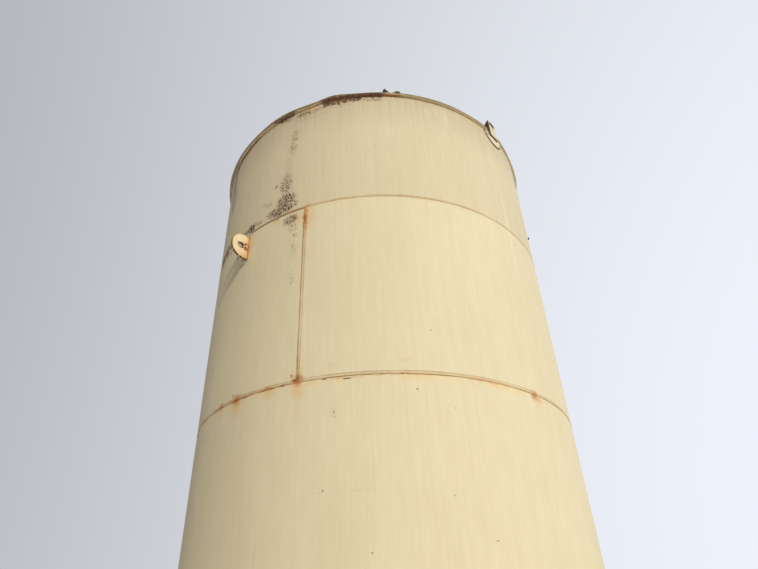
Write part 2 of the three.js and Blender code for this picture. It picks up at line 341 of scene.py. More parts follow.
def weldTree():
    # a bead along a path: an oval section that swells and shrinks with the ripples of the weld pool
    tree, given = startTree("weldBead", {
        "Half Width": "Float", "Height": "Float", "Ripple": "Float", "Depth": "Float",
        "Wander": "Float", "Seed": "Float", "Finish": "Material",
    })
    sizes = given.outputs
    step = addNode(tree, "Math", {0: sizes["Ripple"], 1: 0.25}, operation="MULTIPLY")
    path = addNode(tree, "GeometryNodeMeshToCurve", {0: sizes["Geometry"]})
    path = addNode(tree, "GeometryNodeResampleCurve", {0: path, 3: step}, mode="LENGTH")
    outwards = addNode(tree, "GeometryNodeInputNamedAttribute", {0: "outwards"}, data_type="FLOAT_VECTOR")
    path = addNode(tree, "GeometryNodeSetCurveNormal", {0: path, "Normal": outwards}, mode="FREE")
    index = addNode(tree, "GeometryNodeInputIndex")
    phase = addNode(tree, "Math", {0: index, 1: 4.0}, operation="MODULO")  # four steps to a ripple
    fall = addNode(tree, "Math", {0: phase, 1: 0.25}, operation="MULTIPLY")
    fall = addNode(tree, "Math", {0: fall, 1: sizes["Depth"]}, operation="MULTIPLY")
    swell = addNode(tree, "Math", {0: 1.0, 1: fall}, operation="SUBTRACT")
    here = addNode(tree, "GeometryNodeInputPosition")
    slow = addNode(tree, "TexNoise", {"Vector": here, "W": sizes["Seed"], "Scale": 9.0}, noise_dimensions="4D")
    slow = addNode(tree, "MapRange", {0: slow, 1: 0.3, 2: 0.7, 3: 0.82, 4: 1.1})  # the welder's uneven pace
    swell = addNode(tree, "Math", {0: swell, 1: slow}, operation="MULTIPLY")
    section = addNode(tree, "GeometryNodeCurvePrimitiveCircle", {0: 8, 4: 1.0})
    oval = addNode(tree, "CombineXYZ", {0: sizes["Height"], 1: sizes["Half Width"], 2: 1.0})
    section = addNode(tree, "GeometryNodeTransform", {0: section, "Scale": oval})
    bead = addNode(tree, "GeometryNodeCurveToMesh", {0: path, 1: section, "Scale": swell, "Fill Caps": True})
    jitter = addNode(tree, "TexNoise", {"Vector": here, "W": sizes["Seed"], "Scale": 70.0},
                     output="Color", noise_dimensions="4D")
    jitter = addNode(tree, "VectorMath", {0: jitter, 1: (0.5, 0.5, 0.5)}, operation="SUBTRACT")
    jitter = addNode(tree, "VectorMath", {0: jitter, "Scale": sizes["Wander"]}, operation="SCALE")
    bead = addNode(tree, "GeometryNodeSetPosition", {0: bead, "Offset": jitter})
    bead = addNode(tree, "GeometryNodeSetShadeSmooth", {0: bead})
    endTree(tree, bead, sizes["Finish"])
    return tree


weld = {
    "tree": weldTree(),
    "halfWidth": 10 * mm,
    "proud": 2.8 * mm,
    "leg": 8 * mm,
    "ripple": 14 * mm,  # real ripples lie 2 to 3 mm apart; drawn coarse so that they show
    "depth": 0.16,
    "wander": 0.9 * mm,
    "neckLeg": 6 * mm,
    "neckRipple": 10 * mm,
}


def layBead(name, paths, halfWidth, height, finish, seed, ripple=None):
    # paths: (points, directions away from the plate, closed or not)
    points, aways, edges = [], [], []
    for track, away, closed in paths:
        start = len(points)
        points += [tuple(point) for point in track]
        aways += [tuple(direction) for direction in away]
        edges += [(start + at, start + at + 1) for at in range(len(track) - 1)]
        if closed:
            edges.append((start + len(track) - 1, start))
    source = bpy.data.meshes.new(name)
    source.from_pydata(points, edges, [])
    outwards = source.attributes.new("outwards", "FLOAT_VECTOR", "POINT")
    outwards.data.foreach_set("vector", np.array(aways).ravel())
    return grow(name, weld["tree"], source, {
        "Half Width": halfWidth, "Height": height, "Ripple": ripple or weld["ripple"],
        "Depth": weld["depth"], "Wander": weld["wander"], "Seed": float(seed), "Finish": finish,
    })


def radialAways(points):
    flat = np.array(points) * (1, 1, 0)
    return flat / np.linalg.norm(flat, axis=1)[:, None]


def shellPath(azimuths, heights, closed, outwards=0.0):
    points = onShell(np.array(azimuths, float), np.array(heights, float), outwards)
    return points, radialAways(points), closed


def circleOnShell(azimuth, middle, radius, outwards=0.0, count=72):
    # where a level tube of this radius meets the shell
    around = np.linspace(0, 2 * pi, count, endpoint=False)
    aside = np.degrees(np.arcsin(radius * np.sin(around) / tank["radius"]))
    return shellPath(azimuth + aside, middle + radius * np.cos(around), True, outwards)


print("shapes and trees ready")


def startSurface(name):
    # every pattern reads Object coordinates, so it runs on unbroken from piece to piece
    finish = bpy.data.materials.new(name)
    finish.use_nodes = True
    tree = finish.node_tree
    tree.nodes.clear()
    spot = addNode(tree, "TexCoord", output="Object")
    x, y, z = addNode(tree, "SeparateXYZ", {0: spot}).node.outputs
    front = addNode(tree, "Math", {0: y, 1: -1.0}, operation="MULTIPLY")
    angle = addNode(tree, "Math", {0: x, 1: front}, operation="ARCTAN2")
    along = addNode(tree, "Math", {0: angle, 1: tank["radius"]}, operation="MULTIPLY")
    level = addNode(tree, "VectorMath", {0: spot, 1: (1, 1, 0)}, operation="MULTIPLY")
    surface = {
        "finish": finish, "tree": tree, "spot": spot, "z": z,
        "azimuth": addNode(tree, "Math", {0: angle, 1: 180 / pi}, operation="MULTIPLY"),
        "unrolled": addNode(tree, "CombineXYZ", {0: along, 1: z}),
        "fromAxis": addNode(tree, "VectorMath", {0: level}, output="Value", operation="LENGTH"),
    }
    ripple = addNode(tree, "TexNoise", {"Vector": spot, "Scale": 28.0, "Detail": 3.0}, output="Color")
    ripple = addNode(tree, "VectorMath", {0: ripple, 1: (-0.5, -0.5, -0.5)}, operation="ADD")
    for plane, reach in (("ragged", 60 * mm), ("chipped", 18 * mm)):
        surface[plane] = addNode(tree, "VectorMath", {0: ripple, 1: (reach,) * 3, 2: surface["unrolled"]},
                                 operation="MULTIPLY_ADD")
    return surface


def grain(surface, size, cut=(0.0, 1.0), stretch=(1, 1, 1), detail=2.0, shift=0.0):
    # a noise mask with lumps of about this many mm, cut so that it runs from 0 to 1
    spread = addNode(surface["tree"], "Mapping", {
        "Vector": surface["spot"], "Location": (shift,) * 3,
        "Scale": [1 / (size * mm * part) for part in stretch],
    })
    lumps = addNode(surface["tree"], "TexNoise", {"Vector": spread, "Scale": 1.0, "Detail": detail})
    return addNode(surface["tree"], "MapRange", {0: lumps, 1: cut[0], 2: cut[1]}, interpolation_type="SMOOTHSTEP")


def between(surface, value, low, high, soft):
    # 1 from low to high, falling to 0 over the soft width outside them
    tree = surface["tree"]
    rise = addNode(tree, "MapRange", {0: value, 1: low - soft, 2: low}, interpolation_type="SMOOTHSTEP")
    fall = addNode(tree, "MapRange", {0: value, 1: high + soft, 2: high}, interpolation_type="SMOOTHSTEP")
    return addNode(tree, "Math", {0: rise, 1: fall}, operation="MULTIPLY")


def patch(surface, azimuth, height, across, up, strength=1.0, inner=0.0, plane="ragged"):
    # full at a point of the shell and nothing at the rim of an oval round it, half sizes in mm
    tree = surface["tree"]
    centre = (radians(azimuth) * tank["radius"], height, 0)
    aside = addNode(tree, "VectorMath", {0: surface[plane], 1: centre}, operation="SUBTRACT")
    aside = addNode(tree, "VectorMath", {0: aside, 1: (1 / (across * mm), 1 / (up * mm), 0)}, operation="MULTIPLY")
    far = addNode(tree, "VectorMath", {0: aside}, output="Value", operation="LENGTH")
    return addNode(tree, "MapRange", {0: far, 1: 1.0, 2: inner, 4: strength}, interpolation_type="SMOOTHSTEP")


def merge(surface, *masks, operation="MULTIPLY"):
    whole = masks[0]
    for mask in masks[1:]:
        whole = addNode(surface["tree"], "Math", {0: whole, 1: mask}, operation=operation)
    return whole


def withinAny(surface, value, spans, soft):
    return merge(surface, *[between(surface, value, *span, soft) for span in spans], operation="MAXIMUM")


def patches(surface, rows, **settings):
    # merged one by one, because a shader has room for only so many values at a time
    whole = 0.0
    for row in rows:
        whole = merge(surface, whole, patch(surface, *row, **settings), operation="MAXIMUM")
    return whole


def finishSurface(surface, look, coats):
    # coats go on in turn: (mask, how much of it, tint, roughness or None, lift in mm)
    tree = surface["tree"]
    colour = linear(look["colour"])
    rough = look["roughness"]
    lift = 0.0
    for mask, amount, tint, roughness, raised in coats:
        share = addNode(tree, "Math", {0: mask, 1: amount}, operation="MULTIPLY")
        colour = addNode(tree, "Mix", {0: share, 6: colour, 7: linear(tint)}, output=2, data_type="RGBA")
        if roughness is not None:
            rough = addNode(tree, "Mix", {0: share, 2: rough, 3: roughness}, data_type="FLOAT")
        if raised:
            lift = addNode(tree, "Math", {0: mask, 1: raised * mm, 2: lift}, operation="MULTIPLY_ADD")
    shader = {"Base Color": colour, "Roughness": rough, "Metallic": look.get("metallic", 0.0), "IOR": 1.5}
    if isinstance(lift, bpy.types.NodeSocket):
        shader["Normal"] = addNode(tree, "Bump", {"Height": lift, "Distance": 1.0})
    glossy = addNode(tree, "BsdfPrincipled", shader)
    addNode(tree, "OutputMaterial", {0: glossy})
    return surface["finish"]


rust = {
    "orange": "#b26d28", "faded": "#d9b06a", "line": "#8c6436", "umber": "#6a5038", "brown": "#6b452e",
    "dark": "#3d2e26", "soot": "#40322c", "haze": "#a28a72",
}

girthRust = [  # each girth weld from the ground up: toes, pale stain below, runs below
    {"toes": 0.70, "stain": 0.35, "runs": 0.12},
    {"toes": 0.88, "stain": 0.45, "runs": 0.07},
    {"toes": 0.38, "stain": 0.12, "runs": 0.05},
]

shellSpots = {
    # azimuth, height, half width and half height in mm, strength
    "orange": [(-40.1, 3.052, 84, 60, 1.15), (-47.2, 3.056, 44, 32, 0.95), (-29.0, 3.048, 110, 24, 0.85),
               (-24.4, 3.044, 60, 20, 0.6), (-20.3, 3.060, 70, 54, 1.2), (-8.0, 3.030, 190, 7, 0.6),
               (42.8, 3.040, 64, 56, 1.05), (44.6, 3.02, 36, 36, 0.5), (-23.2, 4.312, 30, 24, 0.5),
               (-20.0, 4.44, 32, 185, 1.15), (-20.4, 4.28, 18, 80, 0.5), (-30.5, 4.555, 60, 28, 0.7),
               (-24.5, 4.572, 150, 14, 0.5), (-19.4, 4.585, 46, 26, 0.6), (-20.1, 3.17, 18, 120, 0.6),
               (-34.0, 3.056, 330, 15, 0.5), (-45.0, 3.058, 200, 15, 0.5), (2.0, 3.040, 460, 8, 0.45),
               (27.0, 3.042, 300, 9, 0.5), (-10.0, 4.573, 200, 10, 0.4), (17.0, 4.572, 330, 9, 0.45),
               (31.0, 4.572, 220, 9, 0.4), (-18.5, 5.775, 110, 14, 0.7), (-23.0, 5.772, 60, 12, 0.5)],
    "faded": [(-39.9, 2.99, 74, 84, 0.95), (-20.0, 2.98, 80, 84, 0.8), (-20.4, 3.09, 100, 70, 0.5),
              (-20.3, 2.84, 34, 120, 0.3), (43.5, 2.985, 60, 60, 0.5), (-28.5, 3.00, 80, 50, 0.65),
              (30.0, 3.03, 260, 26, 0.35), (-18.9, 4.48, 80, 200, 0.65), (-22.6, 4.48, 100, 110, 0.6),
              (-41.4, 4.46, 60, 130, 0.55), (-30.5, 4.53, 90, 44, 0.6), (-47.2, 3.00, 36, 60, 0.6),
              (-19.9, 3.10, 70, 80, 0.5), (-7.0, 4.565, 200, 24, 0.25), (-19.5, 5.762, 140, 28, 0.8),
              (8.0, 5.784, 150, 13, 0.6), (38.0, 5.776, 170, 18, 0.45)],
    "dark": [(-40.4, 3.043, 26, 9, 0.6), (-39.2, 3.052, 14, 8, 0.5), (-46.6, 3.046, 16, 7, 0.6),
             (-27.5, 3.044, 40, 6, 0.6), (-49.5, 3.046, 34, 6, 0.5), (-13.2, 3.036, 26, 6, 0.95),
             (-7.6, 3.027, 38, 7, 0.95), (-24.4, 3.045, 20, 7, 0.85), (-21.0, 3.062, 20, 12, 0.9),
             (-21.9, 3.100, 11, 15, 0.7), (-41.7, 3.096, 9, 15, 0.7), (-36.5, 3.042, 46, 6, 0.7),
             (-30.0, 3.041, 42, 6, 0.6), (5.4, 3.042, 12, 7, 0.7), (-20.15, 4.44, 9, 70, 0.5),
             (-20.1, 3.085, 11, 34, 0.7), (8.8, 2.941, 10, 10, 0.7), (-10.7, 2.809, 10, 11, 0.5),
             (-13.0, 2.339, 9, 9, 0.6), (-2.7, 2.004, 9, 9, 0.6), (-57.8, 3.463, 11, 11, 0.7),
             (17.4, 2.831, 9, 8, 0.4), (14.9, 2.301, 9, 9, 0.5), (23.4, 2.071, 15, 6, 0.6),
             (13.4, 3.368, 9, 9, 0.4), (1.8, 5.13, 9, 9, 0.6), (-31.8, 4.94, 20, 22, 0.6),
             (-23.7, 4.32, 16, 13, 0.5)],
    # the last grey patch, left of and below the front lug, is painted shade that deepens the lug's cast shadow
    "grey": [(6.7, 3.14, 70, 26, 0.25), (-10.9, 3.13, 60, 24, 0.25), (1.5, 5.735, 190, 26, 0.9),
             (-9.5, 5.70, 190, 30, 0.4), (-21.5, 5.73, 220, 60, 0.55), (-49.5, 4.27, 170, 150, 0.4)],
    "pale": [(47.5, 4.70, 46, 900, 0.5), (52.5, 4.30, 30, 700, 0.3), (19.5, 5.62, 26, 150, 0.4),
             (26.5, 5.60, 30, 170, 0.4), (23.0, 5.66, 18, 110, 0.35)],
}

speckPatches = [
    (-27.6, 4.92, 90, 190, 0.80), (-27.4, 4.72, 140, 130, 0.98), (-29.2, 4.64, 220, 80, 1.0),
    (-24.9, 4.66, 80, 60, 0.85), (-25.3, 4.49, 110, 85, 0.90), (-25.3, 5.48, 50, 110, 0.70),
    (1.8, 5.738, 110, 22, 0.7), (-32.4, 4.615, 60, 40, 0.9), (-34.4, 4.77, 60, 42, 0.6),
    (-38.6, 4.63, 75, 40, 0.75), (-41.8, 4.625, 90, 52, 1.15), (-45.0, 4.62, 70, 42, 0.95),
    (-36.6, 4.80, 50, 26, 0.55), (-31.8, 4.94, 30, 36, 0.6), (-27.0, 5.13, 60, 150, 0.42),
    (-25.9, 5.33, 60, 130, 0.62), (-24.2, 4.40, 55, 80, 0.6), (-23.7, 4.16, 40, 130, 0.45),
    (-23.7, 3.90, 36, 110, 0.4), (-22.8, 5.735, 110, 45, 0.85), (-18.6, 5.72, 110, 42, 0.7),
    (-14.5, 5.735, 90, 32, 0.7), (-20.0, 5.66, 220, 60, 0.45), (-29.0, 5.74, 90, 34, 0.8),
    (-44.5, 4.275, 60, 40, 0.6), (-10.7, 2.80, 40, 40, 0.25),
]

sootPatches = [
    (-58.7, 4.655, 80, 80, 1.0), (-63.5, 4.64, 100, 75, 1.0), (-54.9, 4.653, 56, 50, 0.8),
    (-61.5, 5.50, 80, 300, 0.6), (-59.8, 5.22, 60, 140, 0.45), (-60.5, 5.76, 120, 110, 0.8),
    (-53.0, 5.77, 170, 60, 0.6), (-57.7, 5.30, 60, 150, 0.35), (-44.9, 4.335, 28, 26, 1.0),
    (-48.0, 4.405, 26, 20, 0.9),
]

rimScales = [  # azimuth from and to, how far down the shell the scale has eaten in mm, share that stands up
    (-14.5, -3.0, 68, 1.0), (-3.5, 4.5, 34, 1.0), (-32, -27, 34, 0.6), (-60, -43, 34, 0.4), (4.5, 11, 16, 0.6),
    (-27, -14.5, 9, 0.3), (11, 22, 7, 0.2), (84, 112, 50, 0.7), (150, 171, 58, 0.8), (-155, -146, 40, 0.5),
    (-124, -98, 54, 0.8),
]


weldRust = {"toe": (9.0, 12.5, 2.5), "stain": (-40, -14, 24), "runs": (-110, -8, 90)}  # from, to and softness in mm


def weldLines(surface, tracks):
    # thin rusty lines along the toes of the beads, the lower or left one the darker, with a pale stain and runs
    # below the level beads
    tree = surface["tree"]
    lines = haze = drip = 0.0

    def band(value, part):
        return between(surface, value, *[size * mm for size in weldRust[part]])

    for aside, inside, toes, stain, runs in tracks:
        distance = addNode(tree, "Math", {0: aside}, operation="ABSOLUTE")
        uneven = addNode(tree, "MapRange", {0: aside, 1: -2 * mm, 2: 2 * mm, 3: toes, 4: toes * 0.78})
        toe = merge(surface, band(distance, "toe"), uneven, inside)
        lines = merge(surface, lines, toe, operation="MAXIMUM")
        if stain:
            near = merge(surface, band(aside, "stain"), stain)
            haze = merge(surface, haze, near, operation="MAXIMUM")
            below = merge(surface, band(aside, "runs"), runs)
            drip = merge(surface, drip, below, operation="MAXIMUM")
    strong = grain(surface, 200, (0.30, 0.62), detail=3, shift=3.0)
    strong = addNode(tree, "MapRange", {0: strong, 3: 0.45, 4: 1.0})
    lines = merge(surface, lines, strong)
    bright = merge(surface, lines, grain(surface, 110, (0.52, 0.66), detail=2, shift=7.0))
    haze = merge(surface, haze, grain(surface, 130, (0.36, 0.66), detail=3, shift=5.0))
    drip = merge(surface, drip, grain(surface, 30, (0.55, 0.75), stretch=(1, 1, 14), shift=9.0))
    return [
        (haze, 1.0, "#e0bd82", None, 0), (drip, 1.0, rust["faded"], None, 0),
        (lines, 1.0, rust["line"], 0.8, 0), (bright, 0.6, rust["orange"], 0.85, 0),
    ]


shellDirt = {
    "seenTo": 64,  # azimuth; past it the marks are guessed
    "washDepth": 450 * mm, "wash": 0.26, "topCourse": 0.15, "splashHeight": 500 * mm, "splash": 1.3,
    "scuff": 2.330, "scuffEnds": (-15, 18), "brownToe": (-41, -21), "brownToeLow": 9 * mm,
    "specks": [(16, 41.0, "brown", 0.88), (11, 47.0, "soot", 0.95)],  # size in mm, shift, tint, how much
    "speckCrowd": 0.40, "speckCut": (0.90, 0.98),
}


def shellMarks(surface):
    tree, z, azimuth = surface["tree"], surface["z"], surface["azimuth"]
    streaks = grain(surface, 22, (0.40, 0.72), stretch=(1, 1, 30), shift=1.0)
    seen = between(surface, azimuth, -shellDirt["seenTo"], shellDirt["seenTo"], 8)
    unseen = addNode(tree, "Math", {0: 1.0, 1: seen}, operation="SUBTRACT")
    coats = []

    # dirt washed down from the rim and splashed up from the ground
    wash = addNode(tree, "MapRange", {0: z, 1: tank["top"] - shellDirt["washDepth"], 2: tank["top"] - 20 * mm,
                                      3: 0.0, 4: shellDirt["wash"]})
    upper = between(surface, z, tank["seams"][2] + 50 * mm, tank["top"] + 1.0, 120 * mm)
    streaked = addNode(tree, "MapRange", {0: streaks, 3: 0.90, 4: 1.15})
    dusty = addNode(tree, "Math", {0: upper, 1: shellDirt["topCourse"], 2: wash}, operation="MULTIPLY_ADD")
    coats.append((merge(surface, dusty, streaked), 1.0, "#93836a", 0.8, 0))
    splash = addNode(tree, "MapRange", {0: z, 1: shellDirt["splashHeight"], 2: 0.0, 4: shellDirt["splash"]},
                     interpolation_type="SMOOTHSTEP")
    dirt = grain(surface, 120, (0.20, 0.80), stretch=(1, 1, 2.4), detail=5, shift=21.0)
    coats.append((merge(surface, splash, dirt), 0.55, "#8f7d5e", 0.85, 0))
    coats.append((patches(surface, shellSpots["pale"]), 0.5, "#efe6cb", None, 0))

    # lines of rust beside the welds
    tracks = []
    for seam, marks in zip(tank["seams"], girthRust):
        aside = addNode(tree, "Math", {0: z, 1: seam}, operation="SUBTRACT")
        tracks.append((aside, 1.0, marks["toes"], marks["stain"], marks["runs"]))
    for low, high, weldAzimuth in zip(tank["lows"], tank["highs"], tank["weldAzimuths"]):
        aside = addNode(tree, "Math", {0: azimuth, 1: weldAzimuth}, operation="SUBTRACT")
        aside = addNode(tree, "Math", {0: aside, 1: radians(1) * tank["radius"]}, operation="MULTIPLY")
        tracks.append((aside, between(surface, z, low, high, 4 * mm), 0.75, 0, 0))
    coats += weldLines(surface, tracks)
    lowToe = addNode(tree, "Math", {0: z, 1: tank["seams"][2] - shellDirt["brownToeLow"]}, operation="SUBTRACT")
    lowToe = addNode(tree, "Math", {0: lowToe}, operation="ABSOLUTE")
    lowToe = addNode(tree, "MapRange", {0: lowToe, 1: 13 * mm, 2: 5 * mm}, interpolation_type="SMOOTHSTEP")
    brown = merge(surface, lowToe, between(surface, azimuth, *shellDirt["brownToe"], 1.5))
    coats.append((brown, 0.60, rust["brown"], 0.85, 0))

    # a faint level scuff low on the front
    scuff = between(surface, z, shellDirt["scuff"] - 1 * mm, shellDirt["scuff"] + 1 * mm, 2.5 * mm)
    scuff = merge(surface, scuff, between(surface, azimuth, *shellDirt["scuffEnds"], 4), streaks)
    coats.append((scuff, 0.35, "#a39a7c", None, 0))

    # spots, specks and smears
    coats.append((patches(surface, shellSpots["faded"]), 0.75, rust["faded"], None, 0))
    coats.append((patches(surface, shellSpots["orange"]), 0.85, rust["orange"], 0.85, 0))
    # grey haze patches; one of them is painted shade under the front lug's cast shadow
    coats.append((patches(surface, shellSpots["grey"]), 0.6, rust["haze"], 0.85, 0))
    coats.append((patches(surface, shellSpots["dark"], inner=0.45, plane="chipped"), 0.85, rust["dark"], 0.9, 0))
    wild = grain(surface, 420, (0.62, 0.84), detail=2, shift=31.0)
    crowd = patches(surface, speckPatches, inner=0.45)
    crowd = merge(surface, crowd, merge(surface, wild, unseen), operation="MAXIMUM")
    coats.append((crowd, 0.30, rust["haze"], 0.85, 0))
    low, high = shellDirt["speckCut"]
    for size, shift, tint, amount in shellDirt["specks"]:
        specks = grain(surface, size, detail=1.5, shift=shift)
        specks = addNode(tree, "Math", {0: crowd, 1: shellDirt["speckCrowd"], 2: specks}, operation="MULTIPLY_ADD")
        specks = addNode(tree, "MapRange", {0: specks, 1: low, 2: high})
        coats.append((specks, amount, rust[tint], 0.9, 0))
    smear = grain(surface, 30, (0.30, 0.62), stretch=(1, 1, 3), detail=3, shift=51.0)
    smear = addNode(tree, "MapRange", {0: smear, 3: 0.60, 4: 1.0})
    smear = merge(surface, patches(surface, sootPatches, inner=0.4), smear)
    coats.append((smear, 0.90, "#583a2c", 0.9, 0))

    # scale along the rim, with a grey-brown stain under it
    depth = 3 * mm
    for start, end, eatenHere, _ in rimScales:
        window = merge(surface, between(surface, azimuth, start, end, 1.8), eatenHere * mm)
        depth = merge(surface, depth, window, operation="MAXIMUM")
    rag = grain(surface, 30, detail=4, shift=71.0)
    rag = addNode(tree, "MapRange", {0: rag, 1: 0.3, 2: 0.7, 3: 0.45, 4: 1.4})
    eaten = addNode(tree, "Math", {0: depth, 1: rag}, operation="MULTIPLY")
    edge = addNode(tree, "Math", {0: tank["top"], 1: eaten}, operation="SUBTRACT")
    over = addNode(tree, "Math", {0: z, 1: edge}, operation="SUBTRACT")
    stain = addNode(tree, "MapRange", {0: over, 1: -40 * mm, 2: 6 * mm}, interpolation_type="SMOOTHSTEP")
    deep = addNode(tree, "MapRange", {0: depth, 1: 6 * mm, 2: 30 * mm})
    cloudy = grain(surface, 34, (0.40, 0.60), detail=3, shift=77.0)
    coats.append((merge(surface, stain, deep, cloudy), 0.6, rust["haze"], 0.9, 0))
    scale = addNode(tree, "MapRange", {0: over, 1: -5 * mm, 2: 6 * mm}, interpolation_type="SMOOTHSTEP")
    coats.append((scale, 0.92, rust["umber"], 0.95, 0.6))
    mottle = grain(surface, 24, (0.46, 0.60), detail=3, shift=73.0)
    coats.append((merge(surface, scale, mottle), 0.65, rust["dark"], None, 0.5))
    glow = grain(surface, 60, (0.52, 0.66), detail=3, shift=79.0)
    coats.append((merge(surface, scale, glow), 0.45, rust["line"], None, 0))
    return coats


def weatherPaint(name, look, addMarks=None):
    # brushed and rolled alkyd enamel that has chalked in the sun: matt, streaked by rain, mottled by the roller
    surface = startSurface(name)
    dust = grain(surface, 700, (0.30, 0.70), stretch=(0.8, 0.8, 2.2), detail=3, shift=13.0)
    rain = grain(surface, 27, (0.35, 0.65), stretch=(1, 1, 50), detail=2, shift=15.0)
    finer = grain(surface, 12, (0.35, 0.65), stretch=(1, 1, 36), detail=1, shift=16.0)
    roller = grain(surface, 60, (0.35, 0.65), stretch=(1.0, 1.0, 2.6), detail=3, shift=17.0)
    peel = grain(surface, 9, detail=2, shift=19.0)  # real orange peel is 2 to 3 mm across; drawn coarse to show
    pricks = addNode(surface["tree"], "TexVoronoi", {"Vector": surface["spot"], "Scale": 5.5})
    pricks = addNode(surface["tree"], "MapRange", {0: pricks, 1: 0.045, 2: 0.03})
    chance = grain(surface, 300, (0.66, 0.74), shift=23.0)
    coats = [
        (dust, look["dust"], look["deep"], None, 0),
        (rain, look["rain"], look["pale"], None, 0),
        (finer, look["rain"] * 0.9, look["deep"], None, 0),
        (roller, look["roller"], look["deep"], look["roughness"] + 0.12, 0.06),
        (peel, 0.04, look["deep"], None, look["peel"]),
        (merge(surface, pricks, chance), 0.55, rust["brown"], 0.9, 0),
    ]
    if addMarks:
        coats += addMarks(surface)
    return finishSurface(surface, look, coats)


paints = {
    "shell": {"colour": "#dbd0af", "deep": "#c6b892", "pale": "#e7dcbf", "roughness": 0.74,
              "dust": 0.22, "rain": 0.14, "roller": 0.12, "peel": 0.10},
    "roof": {"colour": "#c9bf9e", "deep": "#9c9074", "pale": "#d8cdad", "roughness": 0.76,
             "dust": 0.60, "rain": 0.15, "roller": 0.30, "peel": 0.12},
    "lug": {"colour": "#e4d4ae", "deep": "#cfb27a", "pale": "#efe2c4", "roughness": 0.64,
            "dust": 0.35, "rain": 0.20, "roller": 0.15, "peel": 0.10},
    "eye": {"colour": "#d8d0b6", "deep": "#bdb092", "pale": "#e3ddca", "roughness": 0.66,
            "dust": 0.40, "rain": 0.20, "roller": 0.20, "peel": 0.10},
    "weld": {"colour": "#d4c8a4", "deep": "#bfa679", "pale": "#e2d9bb", "roughness": 0.72,
             "dust": 0.50, "rain": 0.15, "roller": 0.35, "peel": 0.15},
}


def weldMarks(surface):
    # a brush leaves the crests of a bead thin, so rust breaks through in short runs
    broken = grain(surface, 70, (0.48, 0.66), detail=4, shift=83.0)
    thin = grain(surface, 24, (0.56, 0.68), detail=3, shift=87.0)
    return shellMarks(surface) + [(broken, 0.14, rust["faded"], 0.8, 0), (thin, 0.22, rust["brown"], 0.9, 0)]


backRust = [(84, 112), (150, 171), (-155, -146), (-124, -98)]  # where the rim has rusted through on the unseen sides
lipBands = {  # from and to in mm from the shell, and softness
    "under": (-40, 27, 4), "inner": (-40, 13, 3), "outer": (17, 80, 4), "face": (10, 80, 3),
}
lipCoats = [  # side of the lip, spans in azimuth, how much, tint
    # the pale inner coats are painted light: they lift the shaded underside next to the shell to the wall's brightness
    ("inner", [(12, 50), (-60, -34), (-27, -14)], 0.85, "#f3e2bc"),
    ("inner", [(4, 10)], 0.90, "#b06a33"),
    ("inner", [(10, 16)], 0.40, "#b08a5c"),
    ("outer", [(14, 50)], 0.55, "#a39579"),
    ("outer", [(-58, -34), (-27, -14)], 0.55, "#80593a"),
    ("under", [(-112, -60)], 0.90, "#a3968e"),
    ("under", [(-33, -27)], 0.80, "#876050"),
    ("under", [(-15, 4), *backRust], 0.94, "#8a5e4a"),
    ("face", [(-15, 5), *backRust], 0.90, "#685044"),
    ("face", [(10, 14), (38, 44)], 0.85, "#685044"),
    ("face", [(14, 38), (44, 52)], 0.60, "#8a8172"),
    ("face", [(-112, -50)], 0.85, "#9a8b82"),
    ("face", [(-50, -34), (-27, -15)], 0.55, "#c8b9a0"),
    # grey on the lip's face at the right limb is dirt with painted shade
    ("face", [(52, 83)], 0.80, "#74746a"),
]


def roofMarks(surface):
    # rain stands a little before it runs off, so dirt and rust gather towards the edge and round the welds
    tree, fromAxis, azimuth = surface["tree"], surface["fromAxis"], surface["azimuth"]
    edge = addNode(tree, "MapRange", {0: fromAxis, 1: tank["radius"] - 350 * mm, 2: tank["radius"] + 10 * mm},
                   interpolation_type="SMOOTHSTEP")
    blots = grain(surface, 150, (0.40, 0.62), detail=4, shift=91.0)
    flecks = grain(surface, 26, (0.52, 0.62), detail=3, shift=93.0)
    ragged = grain(surface, 60, (0.22, 0.46), detail=4, shift=97.0)
    coats = [
        (merge(surface, edge, blots), 0.40, "#8f8568", 0.85, 0),
        (merge(surface, edge, flecks), 0.35, rust["brown"], 0.9, 0.2),
    ]
    facing = addNode(tree, "SeparateXYZ", {0: addNode(tree, "NewGeometry", output="Normal")}, output=2)
    below = addNode(tree, "MapRange", {0: facing, 1: -0.3, 2: -0.6})
    aside = between(surface, facing, -0.75, 0.75, 0.15)
    lip = {side: between(surface, fromAxis, tank["radius"] + start * mm, tank["radius"] + end * mm, soft * mm)
           for side, (start, end, soft) in lipBands.items()}
    for side in lip:
        lip[side] = merge(surface, lip[side], aside if side == "face" else below)
    above = addNode(tree, "MapRange", {0: facing, 1: 0.5, 2: 0.8})
    near = between(surface, fromAxis, tank["radius"] - 5 * mm, tank["radius"] + 80 * mm, 110 * mm)
    coats.append((lip["under"], 0.85, "#efe4c2", None, 0))  # painted light: pale paint lifts the shade on the lip's underside
    coats.append((lip["face"], 0.6, "#e2d6b6", None, 0))
    for side, spans, amount, tint in lipCoats:
        window = withinAny(surface, azimuth, spans, 2.2)
        coats.append((merge(surface, lip[side], window, ragged), amount, tint, 0.92, 0.4))
    spans = [(-33, -27), (-15, 4), *backRust]
    window = withinAny(surface, azimuth, spans, 4)
    creep = grain(surface, 45, detail=4, shift=155.0)
    creep = addNode(tree, "Math", {0: near, 1: 0.45, 2: creep}, operation="MULTIPLY_ADD")
    creep = addNode(tree, "MapRange", {0: creep, 1: 0.74, 2: 0.82})
    coats.append((merge(surface, creep, window, above), 0.85, "#6b4a38", 0.92, 0.3))
    for size, cut, shift, tint in ((22, (0.50, 0.60), 151.0, "#4a352c"), (16, (0.56, 0.64), 153.0, "#b98a6c")):
        chips = merge(surface, lip["under"], window, grain(surface, size, cut, detail=3, shift=shift))
        coats.append((chips, 0.75, tint, 0.92, 0))
    return coats


